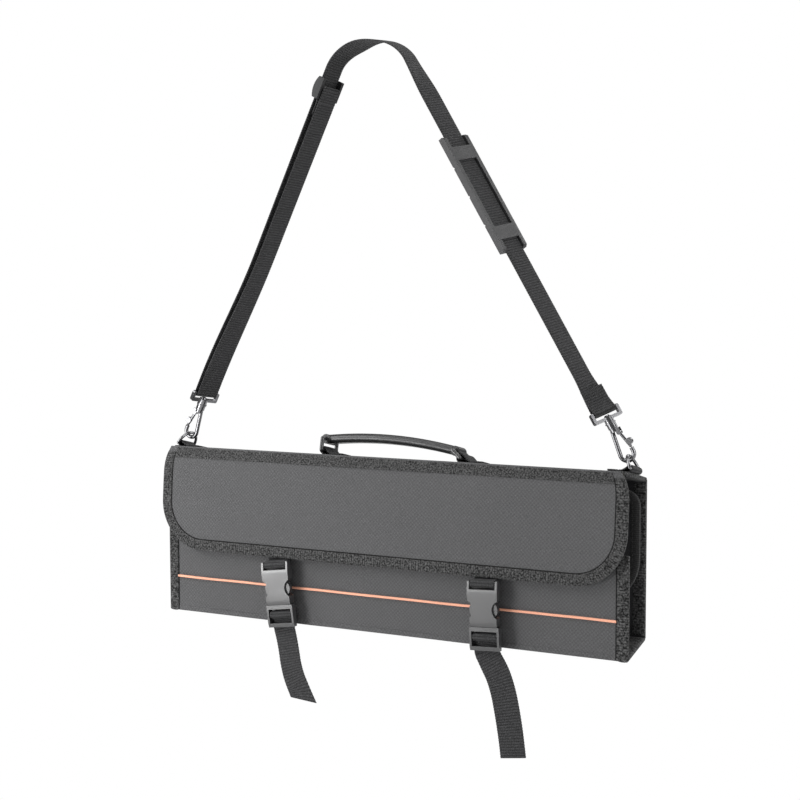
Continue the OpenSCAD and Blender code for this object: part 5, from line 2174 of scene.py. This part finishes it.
@dataclass(frozen=True)
class Studio:
    """White studio: a pale floor, an even white background and soft lamps."""

    floor_z: float = -0.76
    floor_size: float = 12.0
    floor_tone: float = 0.82
    sky: float = 0.22
    lamps: tuple[SoftBox, ...] = (
        SoftBox("key_lamp", (-1.0, -0.8, 0.4), (-0.2, 0.0, -0.5), (0.9, 0.9), 17.0),
        SoftBox("low_lamp", (-0.8, -1.3, -0.45), (-0.12, 0.0, -0.58), (0.5, 0.56), 11.0),
        SoftBox("fill_lamp", (2.4, -0.25, 0.2), (0.0, 0.0, -0.4), (1.2, 1.6), 30.0),
        SoftBox("top_lamp", (-0.3, -0.3, 1.9), (0.0, 0.0, -0.3), (2.2, 1.4), 26.0),
        SoftBox("rim_lamp", (0.9, 2.0, 0.9), (0.0, 0.0, -0.35), (1.6, 1.0), 25.0),
    )

    def build(self) -> None:
        """Makes the floor, the background and the lamps."""
        bm = bmesh.new()
        bmesh.ops.create_grid(bm, x_segments=1, y_segments=1, size=self.floor_size,
                              matrix=Matrix.Translation((0, 0, self.floor_z)))
        mesh = bpy.data.meshes.new("studio_floor")
        bm.to_mesh(mesh)
        bm.free()
        mesh.materials.append(self.floor_material())
        floor = bpy.data.objects.new("studio_floor", mesh)
        bpy.context.scene.collection.objects.link(floor)
        self.background()
        for lamp in self.lamps:
            lamp.build()
        bpy.context.scene.view_settings.view_transform = "Standard"

    def floor_material(self) -> bpy.types.Material:
        """Pale matt floor that the camera sees as white.

        Returns:
            The material.
        """
        shader = Shader("Studio floor")
        shader.surface.inputs["Base Color"].default_value = (self.floor_tone,) * 3 + (1,)
        shader.set(Roughness=0.9)
        glow = shader.nodes.new("ShaderNodeEmission")
        glow.inputs["Color"].default_value = (1, 1, 1, 1)
        mix = shader.nodes.new("ShaderNodeMixShader")
        path = shader.nodes.new("ShaderNodeLightPath")
        shader.links.new(path.outputs["Is Camera Ray"], mix.inputs[0])
        shader.links.new(shader.surface.outputs[0], mix.inputs[1])
        shader.links.new(glow.outputs[0], mix.inputs[2])
        shader.links.new(mix.outputs[0], shader.nodes["Material Output"].inputs["Surface"])
        return shader.material

    def background(self) -> None:
        """White for the camera, and a softer light for everything else."""
        world = bpy.data.worlds.new("Studio white")
        world.use_nodes = True
        nodes, links = world.node_tree.nodes, world.node_tree.links
        nodes.clear()
        out = nodes.new("ShaderNodeOutputWorld")
        path = nodes.new("ShaderNodeLightPath")
        mix = nodes.new("ShaderNodeMixShader")
        links.new(path.outputs["Is Camera Ray"], mix.inputs[0])
        for i, strength in enumerate((self.sky, 1.0), 1):
            shade = nodes.new("ShaderNodeBackground")
            shade.inputs["Color"].default_value = (1, 1, 1, 1)
            shade.inputs["Strength"].default_value = strength
            links.new(shade.outputs[0], mix.inputs[i])
        links.new(mix.outputs[0], out.inputs["Surface"])
        bpy.context.scene.world = world


@dataclass(frozen=True)
class ProductView:
    """The photograph's view: slightly from the right and above."""

    place: tuple[float, float, float] = (0.709917, -1.309236, -0.22963)
    yaw: float = 27.42
    pitch: float = 4.52
    roll: float = -0.16
    lens: float = 68.5

    def build(self) -> None:
        """Makes the scene's camera."""
        yaw, pitch, roll = (math.radians(a) for a in (self.yaw, self.pitch, self.roll))
        aim = Vector((-math.sin(yaw) * math.cos(pitch), math.cos(yaw) * math.cos(pitch), -math.sin(pitch)))
        turn = aim.to_track_quat("-Z", "Y").to_matrix() @ Matrix.Rotation(roll, 3, "Z")
        data = bpy.data.cameras.new("product_view")
        data.lens = self.lens
        data.sensor_width = 36.0
        camera = bpy.data.objects.new("product_view", data)
        camera.matrix_world = Matrix.Translation(self.place) @ turn.to_4x4()
        bpy.context.scene.collection.objects.link(camera)
        bpy.context.scene.camera = camera


def main() -> None:
    """Builds the case, the stage and the camera."""
    logging.basicConfig(level=logging.INFO, format="%(name)s: %(message)s")
    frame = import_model()
    groups = Groups(weave_group(), rib_group(), edge_group(), tone_group(), handling_group())
    materials = {stuff: finish.build(groups) for stuff, finish in FINISHES.items()}
    shop = Workshop(CaseFrame.read(frame["joints"]), frame["nodes"], materials)
    ProductView().build()
    Studio().build()
    KnifeCase(shop).build()


if __name__ == "__main__":
    main()
